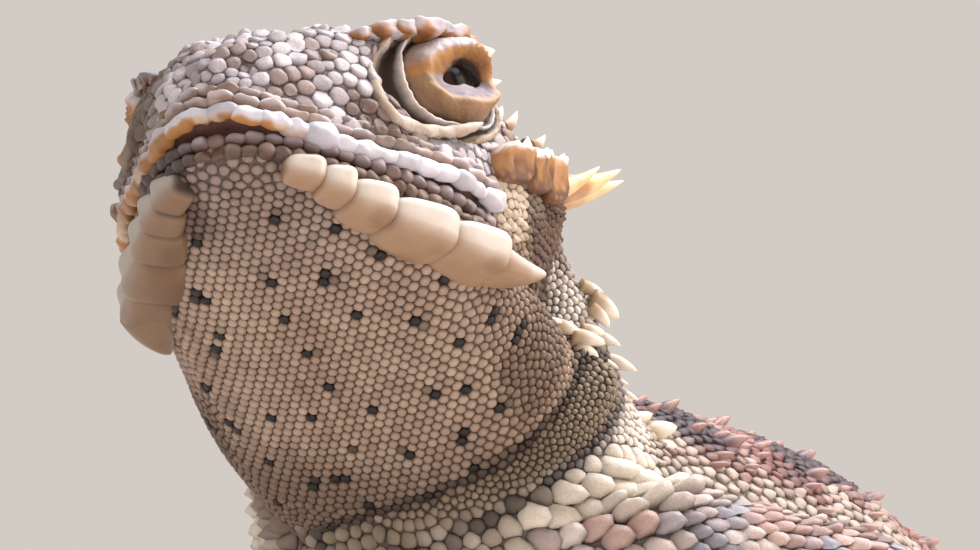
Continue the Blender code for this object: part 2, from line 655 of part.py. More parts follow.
def plant(s, degrees, length, radius, pieces, lean=0.9, lift=0.8, sides=4):
    """Spine on the trunk: lift raises it off the skin and lean lays it towards the tail."""
    point, normal, along = trunk_frame(s, degrees)
    tip = point + (normal * lift + along * lean).normalized() * length
    if not near_limb(point, tip, radius):
        spike(point, tip, radius, pieces, sides)


def make_neck():
    neck = trunk_loft("neck", 0.0, TORSO_START, 7, 24)
    pieces = helper_collection("neck_pieces")
    for s, degrees, length, radius in ((0.78, 8, 2.0, 0.75), (0.98, -4, 2.3, 0.8), (1.02, 14, 2.7, 0.85),
                                       (1.22, 4, 1.9, 0.7), (1.22, 44, 2.3, 0.85), (1.42, 52, 1.9, 0.75)):
        for angle in (degrees, 180 - degrees):
            plant(s, angle, length, radius, pieces, lean=0.8, lift=0.9)
    combine(neck, pieces, "UNION")
    return finish(neck, SKIN_TAN)


def make_torso():
    """Broad flat trunk with rows of spines on the back and one fringe along each flank."""
    start = TORSO_START + 0.045
    torso = trunk_loft("torso", start, TORSO_END, 18, 28)
    pieces = helper_collection("torso_pieces")
    spread = np.random.default_rng(SPREAD_SEED)
    for s in np.linspace(2.75, 7.7, 22):
        for angle in (-9.0, 189.0):
            plant(s, angle, 2.6 - 0.08 * abs(s - 4.5), 0.72, pieces, lean=0.75, lift=1.0)
    for row, angles in enumerate((75, 58, 38)):
        for s in np.linspace(2.5 + 0.2 * row, 7.5, 9):
            size = 1.0 + 0.25 * spread.random()
            jitter = 5 * (spread.random() - 0.5)
            for angle in (angles + jitter, 180 - angles - jitter):
                plant(s, angle, 2.2 * size, 0.95 * size, pieces, lean=0.7, lift=1.0)
    for s, angle in ((2.2, 34), (2.35, 46)):
        for degrees in (angle, 180 - angle):
            plant(s, degrees, 2.6, 0.95, pieces, lean=0.6, lift=1.0)
    combine(torso, pieces, "UNION")
    return finish(torso, SKIN_BACK)


def make_tail():
    for k, name in enumerate(("tail_base", "tail_middle", "tail_tip")):
        first, last = TAIL_CUTS[k] + (0.05 if k < 2 else 0.045), TAIL_CUTS[k + 1]
        tail = trunk_loft(name, first, last, (10, 9, 8)[k], (20, 16, 10)[k])
        pieces = helper_collection(name + "_pieces")
        if k < 2:
            for s in np.linspace(first + 0.12, last - 0.26, 5 - k):
                share = 1 - (s - 8) / 5
                for angle in (2.0, 178.0):
                    plant(s, angle, 0.9 + 1.3 * share, 0.35 + 0.4 * share, pieces, lean=1.0, lift=0.9)
                for angle in (60.0, 120.0):
                    plant(s + 0.08, angle, 0.8 + 1.0 * share, 0.3 + 0.45 * share, pieces, lean=1.0, lift=0.7)
        combine(tail, pieces, "UNION")
        finish(tail, SKIN_BACK)


def cut_clear(obj, table, side, cutter_name):
    cutters = helper_collection("limb_cutters")
    limb(cutter_name, table, side, grow=GAP, sides=14, rings=8, collection=cutters)
    return combine(obj, cutters, "DIFFERENCE")


def digit(start, turn, length, radius, side, pieces):
    """One finger or toe that leaves the palm, arches a little and ends in a hooked claw on the floor."""
    way = Vector((math.sin(math.radians(turn)), -math.cos(math.radians(turn)), 0))
    base = Vector(start)
    rows = np.array([(*(base - way * 0.8), radius * 1.1, radius * 1.1),
                     (*(base + way * length * 0.35 + Vector((0, 0, 0.25))), radius, radius),
                     (*(base + way * length * 0.75 + Vector((0, 0, -0.25))), radius * 0.85, radius * 0.85),
                     (*(base + way * length + Vector((0, 0, -0.45))), radius * 0.7, radius * 0.75)])
    limb("finger", rows, side, rings=4, sides=5, collection=pieces, dome=(25.0,))
    tip = base + way * length
    root = mirrored((tip.x, tip.y, 0.75), side)
    end = tip + way * CLAW_LENGTH
    spike(root, mirrored((end.x, end.y, 0.3), side), 0.42, pieces, sides=4)


def make_foot(name, sole, digits, side, above):
    """Palm or sole with its five clawed digits, cut clear of the length above it."""
    foot = limb(name, sole, side, rings=4, sides=9, dome=(0.1, 45.0))
    pieces = helper_collection(name + "_pieces")
    middle = Vector(sole[-1, :3])
    for k, (turn, length, radius) in enumerate(digits):
        way = Vector((math.sin(math.radians(turn)), -math.cos(math.radians(turn)), 0))
        start = middle + way * 1.15
        start.z = 0.95
        digit(start, turn, length, radius, side, pieces)
    combine(foot, pieces, "UNION")
    cut_clear(foot, above, side, "cutter")
    level_off(foot)
    return finish(foot, SKIN_TAN)


def limb_point(table, side, t, degrees):
    """Point on a limb at station t and its outward normal and direction down the limb."""
    rows = curve(np.arange(len(table)), table, [t, min(t + 0.1, len(table) - 1)])
    along = Vector(rows[1, :3] - rows[0, :3]).normalized()
    across = along.cross(Vector((0, 0, 1))).normalized()
    upright = across.cross(along).normalized()
    a = math.radians(degrees)
    out = across * math.cos(a) * rows[0, 3] + upright * math.sin(a) * rows[0, 4]
    return (Vector(mirrored(Vector(rows[0, :3]) + out, side)), Vector(mirrored(out.normalized(), side)),
            Vector(mirrored(along, side)))


def add_limb_scales(table, side, spots, pieces):
    """Large pointed scales that lie along the limb."""
    for t, degrees, length, radius in spots:
        point, normal, along = limb_point(table, side, t, degrees)
        spike(point, point + (along + normal * 0.45).normalized() * length, radius, pieces, sides=4)


def make_limbs():
    arm_scales = [(t, degrees, 2.4, 0.9) for t in (1.25, 1.75, 2.25) for degrees in (30, 80, 130, 180)]
    thigh_scales = [(t, degrees, 2.3, 0.85) for t in (1.3, 1.9, 2.4) for degrees in (30, 85, 140)]
    for side, word in ((1, "left"), (-1, "right")):
        for kind, table, scales in (("upper_arm", UPPER_ARM, arm_scales), ("thigh", THIGH, thigh_scales)):
            piece = limb(f"{kind}_{word}", table, side, rings=6, sides=11, dome=(0.1, 45.0))
            pieces = helper_collection("limb_pieces")
            add_limb_scales(table, side, scales, pieces)
            combine(piece, pieces, "UNION")
            cutters = helper_collection("trunk_cutters")
            trunk_loft("trunk_cutter", 1.2, 8.6, 34, 40, GAP, cutters)
            combine(piece, cutters, "DIFFERENCE")
            finish(piece, SKIN_TAN)
        for kind, table, above in (("forearm", FOREARM, UPPER_ARM), ("shin", SHIN, THIGH)):
            piece = limb(f"{kind}_{word}", table, side, rings=6, sides=10, dome=(0.1, 45.0))
            cut_clear(piece, above, side, "cutter")
            finish(piece, SKIN_TAN)
        make_foot(f"hand_{word}", PALM, FINGERS, side, FOREARM)
        make_foot(f"foot_{word}", SOLE, TOES, side, SHIN)


def gather():
    """Moves every part into one collection that is named for the animal."""
    lizard = bpy.data.collections.new("horned_lizard")
    bpy.context.scene.collection.children.link(lizard)
    for obj in list(bpy.context.scene.collection.objects):
        bpy.context.scene.collection.objects.unlink(obj)
        lizard.objects.link(obj)


def main():
    for obj in list(bpy.data.objects):
        bpy.data.objects.remove(obj)
    make_head()
    make_eyes()
    make_horns()
    make_jaw()
    make_throat()
    make_neck()
    make_torso()
    make_tail()
    make_limbs()
    gather()


main()
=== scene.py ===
# %% [markdown]
# # A desert horned lizard with its head raised
# The lizard is 125 mm long. Its solids give the build: head, jaw, trunk, limbs, horns. This script gives the
# looks: one skin without seams, the eyes and their lids, the pale shields of the jaw, the horns, the spines, and
# about twenty thousand separate scales. Everything is worked out in millimetres and becomes metres at the end.

# %% Start
import math

import bpy
import numpy as np
from mathutils import Matrix, Vector
from mathutils.bvhtree import BVHTree
from mathutils.kdtree import KDTree


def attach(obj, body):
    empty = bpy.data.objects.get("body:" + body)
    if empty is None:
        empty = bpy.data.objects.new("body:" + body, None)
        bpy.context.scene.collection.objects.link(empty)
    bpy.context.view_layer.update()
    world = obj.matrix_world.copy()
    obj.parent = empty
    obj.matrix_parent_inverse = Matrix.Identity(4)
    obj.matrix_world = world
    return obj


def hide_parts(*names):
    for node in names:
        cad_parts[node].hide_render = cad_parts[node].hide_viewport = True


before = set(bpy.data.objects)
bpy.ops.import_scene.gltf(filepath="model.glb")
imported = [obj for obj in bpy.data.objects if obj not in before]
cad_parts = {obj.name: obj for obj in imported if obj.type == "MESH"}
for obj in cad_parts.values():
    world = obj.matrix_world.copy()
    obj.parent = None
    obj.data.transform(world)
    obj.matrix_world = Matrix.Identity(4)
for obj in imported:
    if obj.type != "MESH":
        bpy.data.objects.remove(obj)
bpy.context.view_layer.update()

MM = 0.001
COAT = 0.30                     # depth of the scales in millimetres: the skin lies this far inside the solids
print("nodes in the frame:", len(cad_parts))

# %% [markdown]
# ## Curves and the frame of the head
# An animal's body is easiest to describe by a few stations with a width and a height each. A cubic that never
# overshoots its stations keeps the outline calm. The head has a frame of its own: l to the animal's left, b back
# from the chin, u up from the lower edge of the jaw. The head is raised, turned and rolled, so one matrix takes
# its points to the world.

# %% Curves
CHIN = np.array([4.8, -61.75, 37.0])
HEAD_PITCH, HEAD_TURN, HEAD_ROLL, HEAD_LEAN = 16.6, 12.0, 4.7, 0.10
HEAD_AXES = np.array(Matrix.Rotation(math.radians(HEAD_TURN), 3, "Z")
                     @ Matrix.Rotation(math.radians(-HEAD_PITCH), 3, "X")
                     @ Matrix.Rotation(math.radians(-HEAD_ROLL), 3, "Y"))


def slopes(x, y):
    """Slope at each station: the weighted harmonic mean of the two neighbouring slopes, or 0 at a peak."""
    step = np.diff(x)[:, None]
    rise = np.diff(y, axis=0) / step
    same = rise[:-1] * rise[1:] > 0
    w1, w2 = 2 * step[1:] + step[:-1], step[1:] + 2 * step[:-1]
    low, high = np.where(same, rise[:-1], 1.0), np.where(same, rise[1:], 1.0)
    return np.vstack([rise[:1], np.where(same, (w1 + w2) / (w1 / low + w2 / high), 0.0), rise[-1:]])


def curve(x, y, t):
    """Cubic Hermite through the stations y at x, read at t, with the slopes above."""
    x = np.asarray(x, float)
    y = np.asarray(y, float).reshape(len(x), -1)
    t = np.clip(np.asarray(t, float).ravel(), x[0], x[-1])
    k = np.clip(np.searchsorted(x, t, side="right") - 1, 0, len(x) - 2)
    step = (x[k + 1] - x[k])[:, None]
    p = ((t - x[k])[:, None]) / step
    m = slopes(x, y)
    return ((1 + 2 * p) * (1 - p) ** 2 * y[k] + p * (1 - p) ** 2 * step * m[k]
            + p * p * (3 - 2 * p) * y[k + 1] + p * p * (p - 1) * step * m[k + 1])


def power(value, exponent):
    """Power that keeps the sign, which squares off or pinches a circle."""
    return np.sign(value) * np.abs(value) ** exponent


def ease(low, high, value):
    """Smooth step: 0 below low, 1 above high, and 3t^2 - 2t^3 between."""
    t = np.clip((value - low) / (high - low), 0, 1)
    return t * t * (3 - 2 * t)


def unit(vectors):
    return vectors / np.maximum(np.linalg.norm(vectors, axis=-1, keepdims=True), 1e-9)


def lean(points, way=-1):
    """The skull leans a little to the right over the jaw, 0.1 mm for each mm above the lip, and its right cheek is
    6 percent wider; way = 1 takes both away again."""
    points = np.array(points, float)
    l, b, u = (points[..., k] for k in range(3))
    shift = HEAD_LEAN * 0.5 * (u - 1.5 + np.sqrt((u - 1.5) ** 2 + 1))
    wide = 1 + 0.06 * ease(2, 8, b) * ease(1.5, 3, u) * (1 - ease(7.5, 10.5, u))
    if way > 0:
        l = l + shift
    l = np.where(l < 0, l * (wide if way < 0 else 1 / wide), l)
    points[..., 0] = l - shift if way < 0 else l
    return points


def head_to_world(points):
    return lean(points) @ HEAD_AXES.T + CHIN


def world_to_head(points):
    return lean((np.asarray(points, float) - CHIN) @ HEAD_AXES, 1)


# %% [markdown]
# ## Camera
# The photograph is a macro shot from low in front, a little to the animal's left, looking up by ten degrees. From
# 150 mm away a lens of 101 mm on a 36 mm sensor gives the same perspective. Depth of field stays off.

# %% Camera
VIEW_TURN, VIEW_RISE, VIEW_DISTANCE = math.radians(20.6 + HEAD_TURN), math.radians(10.0), 150.0
view_right = np.array([math.cos(VIEW_TURN), math.sin(VIEW_TURN), 0.0])
view_away = np.array([-math.sin(VIEW_TURN), math.cos(VIEW_TURN), 0.0])
view_target = CHIN + 13.6 * view_right + 11.0 * view_away - np.array([0, 0, 3.3])
view_from = view_target - VIEW_DISTANCE * (math.cos(VIEW_RISE) * view_away + np.array([0, 0, math.sin(VIEW_RISE)]))
camera = bpy.data.objects.new("camera", bpy.data.cameras.new("camera"))
camera.data.sensor_width = 36
camera.data.lens = 2747 / 980 * 36
camera.data.clip_start = 0.002
camera.location = Vector(view_from * MM)
camera.rotation_euler = Vector(view_target - view_from).to_track_quat("-Z", "Y").to_euler()
bpy.context.scene.collection.objects.link(camera)
bpy.context.scene.camera = camera
bpy.context.scene.view_settings.view_transform = "Standard"
print("camera at", np.round(view_from, 1), "mm, lens", round(camera.data.lens, 1))

# %% [markdown]
# ## Small helpers for colours, materials and meshes
# Colours are written as the sRGB hex values that a picture editor shows, and one function turns them linear.
# A surface is a grid of points, rows by columns, and one function makes the mesh from the array.

# %% Helpers


def linear(hex_colour):
    """sRGB hex to linear: c / 12.92 for dark values, otherwise ((c + 0.055) / 1.055) ^ 2.4."""
    value = np.array([int(hex_colour[i:i + 2], 16) / 255 for i in (1, 3, 5)])
    return np.where(value <= 0.04045, value / 12.92, ((value + 0.055) / 1.055) ** 2.4)


def add_node(tree, kind, settings=(), links=()):
    """One node: settings are (name, value) for its properties or sockets, links are (socket, source socket)."""
    node = tree.nodes.new(kind)
    for name, value in settings:
        if isinstance(name, str) and hasattr(node, name):
            setattr(node, name, value)
        else:
            node.inputs[name].default_value = value
    for name, source in links:
        tree.links.new(source, node.inputs[name])
    return node


def new_material(name):
    material = bpy.data.materials.new(name)
    material.use_nodes = True
    tree = material.node_tree
    return material, tree, tree.nodes["Principled BSDF"]


def grid_faces(rows, columns, wrap_rows=False, wrap_columns=True):
    """Quads of a grid of points, as an array of four indices each; a wrapped side joins its last line to its first."""
    i, j = np.meshgrid(np.arange(rows if wrap_rows else rows - 1),
                       np.arange(columns if wrap_columns else columns - 1), indexing="ij")
    i2, j2 = (i + 1) % rows, (j + 1) % columns
    return np.stack([i * columns + j, i * columns + j2, i2 * columns + j2, i2 * columns + j], -1).reshape(-1, 4)


def signed_volume(points, faces):
    """Six times the volume: the sum of the triple products of each face's fan of triangles."""
    total = 0.0
    for k in range(1, faces.shape[1] - 1):
        a, b, c = points[faces[:, 0]], points[faces[:, k]], points[faces[:, k + 1]]
        total += np.einsum("ij,ij->", a, np.cross(b, c))
    return total


def make_piece(name, points, faces, material, tint=None, smooth=True, uv=None, extra=()):
    """Mesh object in metres from points in millimetres and arrays of faces, with a colour for each point."""
    faces = [np.asarray(f) for f in (faces if isinstance(faces, list) else [faces])]
    corner = np.concatenate([f.ravel() for f in faces])
    count = np.concatenate([np.full(len(f), f.shape[1]) for f in faces])
    mesh = bpy.data.meshes.new(name)
    mesh.vertices.add(len(points))
    mesh.vertices.foreach_set("co", (np.asarray(points, float) * MM).ravel())
    mesh.loops.add(len(corner))
    mesh.loops.foreach_set("vertex_index", corner)
    mesh.polygons.add(len(count))
    mesh.polygons.foreach_set("loop_start", np.concatenate([[0], np.cumsum(count)[:-1]]))
    mesh.update(calc_edges=True)
    mesh.validate()
    mesh.polygons.foreach_set("use_smooth", np.full(len(mesh.polygons), smooth))
    if tint is not None:
        layer = mesh.color_attributes.new("tint", "FLOAT_COLOR", "POINT")
        layer.data.foreach_set("color", np.column_stack([tint, np.ones(len(tint))]).ravel())
    if uv is not None:
        layer = mesh.uv_layers.new(name="OFBake")
        layer.data.foreach_set("uv", uv[corner].ravel())
    for label, values in extra:
        mesh.attributes.new(label, "FLOAT", "POINT").data.foreach_set("value", values)
    mesh.materials.append(material)
    piece = bpy.data.objects.new(name, mesh)
    bpy.context.scene.collection.objects.link(piece)
    return piece


def closed_tube(rings):
    """Points and faces of a tube over rings (rows, columns, 3) with a fan of triangles closing each end."""
    rows, columns = rings.shape[:2]
    points = np.vstack([rings.reshape(-1, 3), rings[0].mean(axis=0), rings[-1].mean(axis=0)])
    quads = grid_faces(rows, columns)
    j = np.arange(columns)
    k = (j + 1) % columns
    first = np.column_stack([np.full(columns, rows * columns), k, j])
    last = np.column_stack([np.full(columns, rows * columns + 1), (rows - 1) * columns + j, (rows - 1) * columns + k])
    faces = [quads, np.vstack([first, last])]
    if signed_volume(points, quads) + signed_volume(points, faces[1]) < 0:
        faces = [f[:, ::-1] for f in faces]
    return points, faces


# %% [markdown]
# ## Floor and light
# The camera looks up, so the floor only bounces warm light onto the throat. A large soft box above and behind the
# head gives the cool white edges on every upward face, and a broad warm one in front keeps the shade open, as
# bright ground would. The world is an even pale tone, like the far background out of focus.

# %% Stage
floor_material, tree, shader = new_material("pale studio paper")
shader.inputs["Base Color"].default_value = (*linear("#ddd5cf"), 1)
shader.inputs["Roughness"].default_value = 0.9
reach = np.linspace(-900, 900, 7)
sheet = np.stack(np.meshgrid(reach, reach, indexing="ij") + [np.zeros((7, 7))], -1).reshape(-1, 3)
floor = make_piece("floor", sheet, grid_faces(7, 7, wrap_columns=False), floor_material)
if floor.data.polygons[0].normal.z < 0:
    floor.data.flip_normals()

world = bpy.data.worlds.new("pale studio")
bpy.context.scene.world = world
world.use_nodes = True
world.node_tree.nodes["Background"].inputs["Color"].default_value = (*linear("#e4dcd5"), 1)
world.node_tree.nodes["Background"].inputs["Strength"].default_value = 0.84


def soft_box(name, place, aim, size, watts, colour):
    """Rectangular area light at place, turned to aim, both in millimetres."""
    light = bpy.data.lights.new(name, "AREA")
    light.shape = "RECTANGLE"
    light.size, light.size_y = size[0] * MM, size[1] * MM
    light.energy = watts
    light.color = linear(colour)
    lamp = bpy.data.objects.new(name, light)
    lamp.location = Vector(place) * MM
    lamp.rotation_euler = (Vector(aim) - Vector(place)).to_track_quat("-Z", "Y").to_euler()
    bpy.context.scene.collection.objects.link(lamp)


head_middle = head_to_world([(0, 10, 4)])[0]
soft_box("sky", head_middle + np.array([90, 120, 330]), head_middle, (300, 260), 2.3, "#f2f4ff")
soft_box("edge", head_middle + np.array([260, 160, 150]), head_middle, (160, 160), 0.75, "#fff1e4")
soft_box("fill", head_middle + np.array([150, -330, -20]), head_middle, (320, 120), 0.22, "#fff3e8")
print("floor, world and three soft boxes")

# %% [markdown]
# ## The body as surfaces
# The skull, the jaw with the loose throat, the trunk with neck and tail, and each limb are tubes over measured
# stations, the same ones that the solids use. Each is a function of two parameters: a place along the tube and
# an angle round it.

# %% Stations of head, jaw and trunk
HEAD_END, JAW_END = 22.0, 17.2
EYE = np.array([7.37, 11.2, 9.6])
SKULL = np.array([   # b, half widths at lip, cheek and brow, heights of lip, cheek, brow and crown
    (-1.5, 1.0, 0.9, 0.6, 2.4, 3.6, 4.8, 5.0), (-1.0, 2.4, 2.2, 1.6, 2.1, 4.1, 6.0, 6.4),
    (0.4, 4.1, 4.1, 3.0, 1.95, 5.0, 7.7, 8.3), (3.0, 6.2, 6.5, 5.4, 2.05, 5.8, 9.4, 10.1),
    (6.0, 8.0, 8.4, 7.5, 2.45, 6.6, 11.3, 11.6), (9.5, 9.8, 10.1, 8.8, 2.85, 7.1, 12.5, 12.3),
    (13.0, 10.7, 10.9, 9.2, 2.95, 7.3, 12.7, 12.5), (15.0, 11.1, 11.6, 8.7, 2.8, 7.3, 11.8, 12.2),
    (17.0, 11.2, 12.0, 9.2, 2.6, 7.2, 11.0, 11.7), (20.0, 10.9, 12.2, 10.2, 2.1, 7.0, 10.3, 10.9),
    (22.0, 9.9, 11.1, 9.5, 1.8, 6.5, 9.7, 10.1)])
JAW = np.array([     # b, half width, height of the rim, lowest point
    (-0.7, 1.0, 1.7, 0.5), (-0.3, 2.2, 1.75, 0.3), (1.2, 4.3, 1.8, -0.3), (4.0, 6.5, 1.9, -1.1),
    (8.0, 8.5, 2.2, -2.5),
    (12.0, 9.9, 2.4, -4.0), (17.2, 10.7, 2.0, -6.0), (20.0, 11.1, 1.6, -7.2), (23.5, 11.3, 1.1, -8.6),
    (26.0, 11.1, 0.8, -9.3), (27.8, 9.8, 0.2, -9.0), (28.7, 7.2, -1.2, -7.0)])
NECK_START = HEAD_AXES @ [0.0, 22.32, 5.5] + CHIN
TRUNK = np.array([   # centre x, y, z, downward pitch, turn, half width, height above and below the centre
    (*NECK_START, HEAD_PITCH, HEAD_TURN, 10.4, 4.8, 5.2), (0.4, -36.35, 28.8, 47.0, 5.0, 11.8, 6.4, 6.6),
    (0.0, -32.75, 21.8, 32.0, 0.0, 14.2, 9.8, 9.5), (0.0, -25.25, 18.2, 15.0, 0.0, 18.0, 12.4, 9.9),
    (0.0, -13.75, 14.9, 14.0, 0.0, 21.6, 14.0, 10.0), (0.0, -1.75, 11.9, 14.0, 0.0, 21.2, 13.4, 9.8),
    (0.0, 9.25, 9.2, 13.0, 0.0, 16.2, 11.0, 8.9), (0.0, 17.75, 7.4, 12.0, 0.0, 10.2, 8.3, 7.4),
    (0.0, 24.25, 6.0, 11.0, -2.0, 7.0, 5.7, 6.0), (0.7, 33.25, 4.4, 8.0, -8.0, 4.9, 3.8, 4.6),
    (2.6, 43.25, 3.0, 6.0, -14.0, 3.2, 2.5, 3.2), (5.4, 52.25, 2.0, 5.0, -20.0, 1.9, 1.5, 2.2),
    (8.0, 58.75, 1.3, 4.0, -22.0, 1.0, 0.9, 1.5), (9.5, 62.45, 0.8, 4.0, -22.0, 0.3, 0.3, 0.9)])
STATION = np.arange(len(TRUNK), dtype=float)


def skull_surface(b, around, grow=0.0):
    """Skull at each b and around: a half profile through floor, lip, cheek, brow and crown, mirrored for around < 0."""
    stops = np.array([0.0, 0.2, 0.3, 0.5, 0.72, 0.86, 1.0])
    rings = []
    for lip, cheek, brow, z_lip, z_cheek, z_brow, z_crown in curve(SKULL[:, 0], SKULL[:, 1:], b):
        side = np.array([(0.0, z_lip), (lip * 0.93, z_lip), (lip, z_lip + 0.7), (cheek, z_cheek),
                         (brow, z_brow - 0.5), (brow * 0.62, 0.5 * (z_brow + z_crown) + 0.25), (0.0, z_crown)])
        half = curve(stops, side, np.abs(around))
        middle = 0.5 * (z_lip + z_crown)
        out = np.column_stack([half[:, 0] * np.sign(around), half[:, 1] - middle])
        out *= 1 + grow / np.maximum(np.linalg.norm(out, axis=1), 0.5)[:, None]
        rings.append(np.column_stack([out[:, 0], out[:, 1] + middle]))
    rings = np.array(rings)
    return np.stack([rings[..., 0], np.broadcast_to(np.asarray(b, float)[:, None], rings.shape[:2]), rings[..., 1]],
                    -1)


def jaw_surface(b, angle, grow=0.0):
    """Jaw and throat: width * cos^0.8, rim * sin^0.45 above the middle and depth * sin^0.95 below it."""
    width, rim, low = (v[:, None] for v in curve(JAW[:, 0], JAW[:, 1:], b).T)
    middle = rim - 0.30 * (rim - low)
    side, up = np.cos(angle)[None], np.sin(angle)[None]
    height = np.where(up > 0, (rim - middle + grow) * power(up, 0.45), (middle - low + grow) * power(up, 0.95))
    left = (width + grow) * power(side, 0.80)
    return np.stack([left, np.broadcast_to(np.asarray(b, float)[:, None], left.shape), middle + height], -1)


def trunk_axes(s):
    """Centre, left and up directions, and the row of sizes, at each station."""
    row = curve(STATION, TRUNK, s)
    pitch, turn = np.radians(row[:, 3]), np.radians(row[:, 4])
    roll = math.radians(HEAD_ROLL) * np.maximum(0.0, 1 - np.asarray(s, float) / 1.6)
    along = np.stack([-np.sin(turn) * np.cos(pitch), np.cos(turn) * np.cos(pitch), -np.sin(pitch)], -1)
    flat_left = np.stack([np.cos(turn), np.sin(turn), 0 * turn], -1)
    flat_up = np.cross(flat_left, along)
    c, d = np.cos(roll)[:, None], np.sin(roll)[:, None]
    return row[:, :3], flat_left * c + flat_up * d, flat_up * c - flat_left * d, along, row


def trunk_surface(s, angle, grow=0.0):
    """Neck, trunk and tail: an oval with squared powers, 0 at the left edge and 90 degrees on the back."""
    centre, left, up, _, row = trunk_axes(s)
    grow = np.maximum(grow, -0.25 * row[:, 5:8])
    side, rise = np.cos(angle)[None], np.sin(angle)[None]
    x = (row[:, 5:6] + grow[:, :1]) * power(side, 0.86)
    z = np.where(rise > 0, (row[:, 6:7] + grow[:, 1:2]) * power(rise, 0.92),
                 (row[:, 7:8] + grow[:, 2:3]) * power(rise, 0.80))
    points = centre[:, None] + x[..., None] * left[:, None] + z[..., None] * up[:, None]
    points[..., 2] = np.maximum(points[..., 2], -min(0.0, float(np.min(grow))) * 0.6)
    return points


print("trunk is", round(2 * TRUNK[:, 5].max(), 1), "mm wide")

# %% Stations of the limbs
LIMBS = {   # x, y, z, half thickness across and upright
    "upper_arm": np.array([(8.5, -35.15, 18.6, 3.6, 4.0), (15.5, -34.35, 18.6, 3.5, 3.9),
                           (21.0, -32.15, 17.9, 3.1, 3.3), (25.4, -30.15, 16.9, 2.9, 3.0)]),
    "forearm": np.array([(25.6, -30.55, 16.4, 2.6, 2.7), (26.6, -33.75, 12.4, 2.5, 2.6),
                         (27.4, -37.15, 8.2, 2.1, 1.9), (27.9, -39.55, 4.6, 1.8, 1.5)]),
    "hand": np.array([(27.9, -39.15, 4.2, 1.7, 1.4), (28.5, -41.35, 2.0, 2.3, 1.3), (29.3, -43.55, 1.3, 2.1, 1.0)]),
    "thigh": np.array([(7.0, 12.75, 8.8, 4.2, 4.4), (14.0, 9.75, 11.2, 4.4, 4.6), (20.0, 5.85, 13.0, 3.7, 4.0),
                       (24.6, 3.05, 13.4, 3.1, 3.3)]),
    "shin": np.array([(24.8, 3.45, 13.0, 2.8, 3.0), (25.2, 7.85, 10.6, 2.9, 3.0), (24.8, 12.85, 7.2, 2.2, 2.2),
                      (24.4, 16.65, 4.2, 1.8, 1.7)]),
    "foot": np.array([(24.3, 16.85, 3.6, 1.8, 1.6), (25.8, 15.25, 1.8, 2.2, 1.5), (28.0, 12.45, 1.3, 2.4, 1.1)])}
DIGITS = {  # turn from straight ahead, length, half thickness
    "hand": ((62.0, 4.6, 0.72), (40.0, 5.8, 0.76), (18.0, 6.4, 0.78), (-6.0, 5.8, 0.74), (-38.0, 4.4, 0.70)),
    "foot": ((2.0, 4.2, 0.74), (16.0, 6.2, 0.78), (30.0, 8.2, 0.80), (46.0, 9.4, 0.80), (76.0, 5.2, 0.72))}
CLAW_LENGTH = 1.9


def limb_surface(table, rings, sides, grow=0.0):
    """Oval tube along the points of the table, with a dome at each end."""
    t = np.linspace(0, len(table) - 1, rings)
    spots = np.arange(len(table), dtype=float)
    rows = curve(spots, table, t)
    along = unit(curve(spots, table[:, :3], t + 0.05) - curve(spots, table[:, :3], t - 0.05))
    dome = np.radians([3.0, 22.0, 42.0, 64.0])
    order = np.concatenate([np.zeros(4, int), np.arange(rings), np.full(4, rings - 1)])
    push = np.concatenate([-np.cos(dome), np.zeros(rings), np.cos(dome[::-1])])
    share = np.concatenate([np.sin(dome), np.ones(rings), np.sin(dome[::-1])])
    across = unit(np.cross(along, [0, 0, 1.0]))
    upright = np.cross(across, along)
    wide, tall = rows[:, 3] + np.maximum(grow, -0.2 * rows[:, 3]), rows[:, 4] + np.maximum(grow, -0.2 * rows[:, 4])
    angle = np.linspace(0, 2 * math.pi, sides, endpoint=False)
    centre = rows[order, :3] + along[order] * (push * np.minimum(wide, tall)[order])[:, None]
    return (centre[:, None] + across[order][:, None] * (np.cos(angle) * (wide[order] * share)[:, None])[..., None]
            + upright[order][:, None] * (np.sin(angle) * (tall[order] * share)[:, None])[..., None])


def digit_table(kind, turn, length, radius):
    """Stations of one finger or toe, which leaves the palm, arches a little and comes down to the floor."""
    way = np.array([math.sin(math.radians(turn)), -math.cos(math.radians(turn)), 0])
    base = LIMBS[kind][-1, :3] + way * 1.15
    base[2] = 0.95
    steps = ((-0.8, 0.0, 1.1, 1.1), (length * 0.35, 0.25, 1.0, 1.0), (length * 0.75, -0.25, 0.85, 0.85),
             (length, -0.45, 0.70, 0.75))
    return np.array([(*(base + way * step + np.array([0, 0, lift])), radius * w, radius * h)
                     for step, lift, w, h in steps]), way


# %% [markdown]
# ## One skin
# All the tubes are laid into one another and remeshed together at 0.42 mm, so that head, trunk and limbs become a
# single surface with no seam, and a few rounds of averaging soften the joins. A narrower core closes the mouth
# behind the lips, which leaves the line of the mouth as a groove.

# %% Skin
VOXEL = 0.42


THROAT_FOLD = np.array([   # x, y, z and radius of the roll of skin between the throat and the chest
    (11.8, -35.6, 28.8, 0.8), (11.5, -36.4, 27.7, 1.0), (11.0, -37.2, 26.5, 1.1), (10.1, -38.0, 25.3, 1.15),
    (8.5, -38.7, 23.8, 1.15), (6.9, -39.1, 22.8, 1.1), (4.9, -39.5, 21.9, 1.0), (2.5, -39.7, 21.2, 0.9),
    (-0.3, -39.8, 20.5, 0.8), (-3.2, -39.6, 20.1, 0.7)])


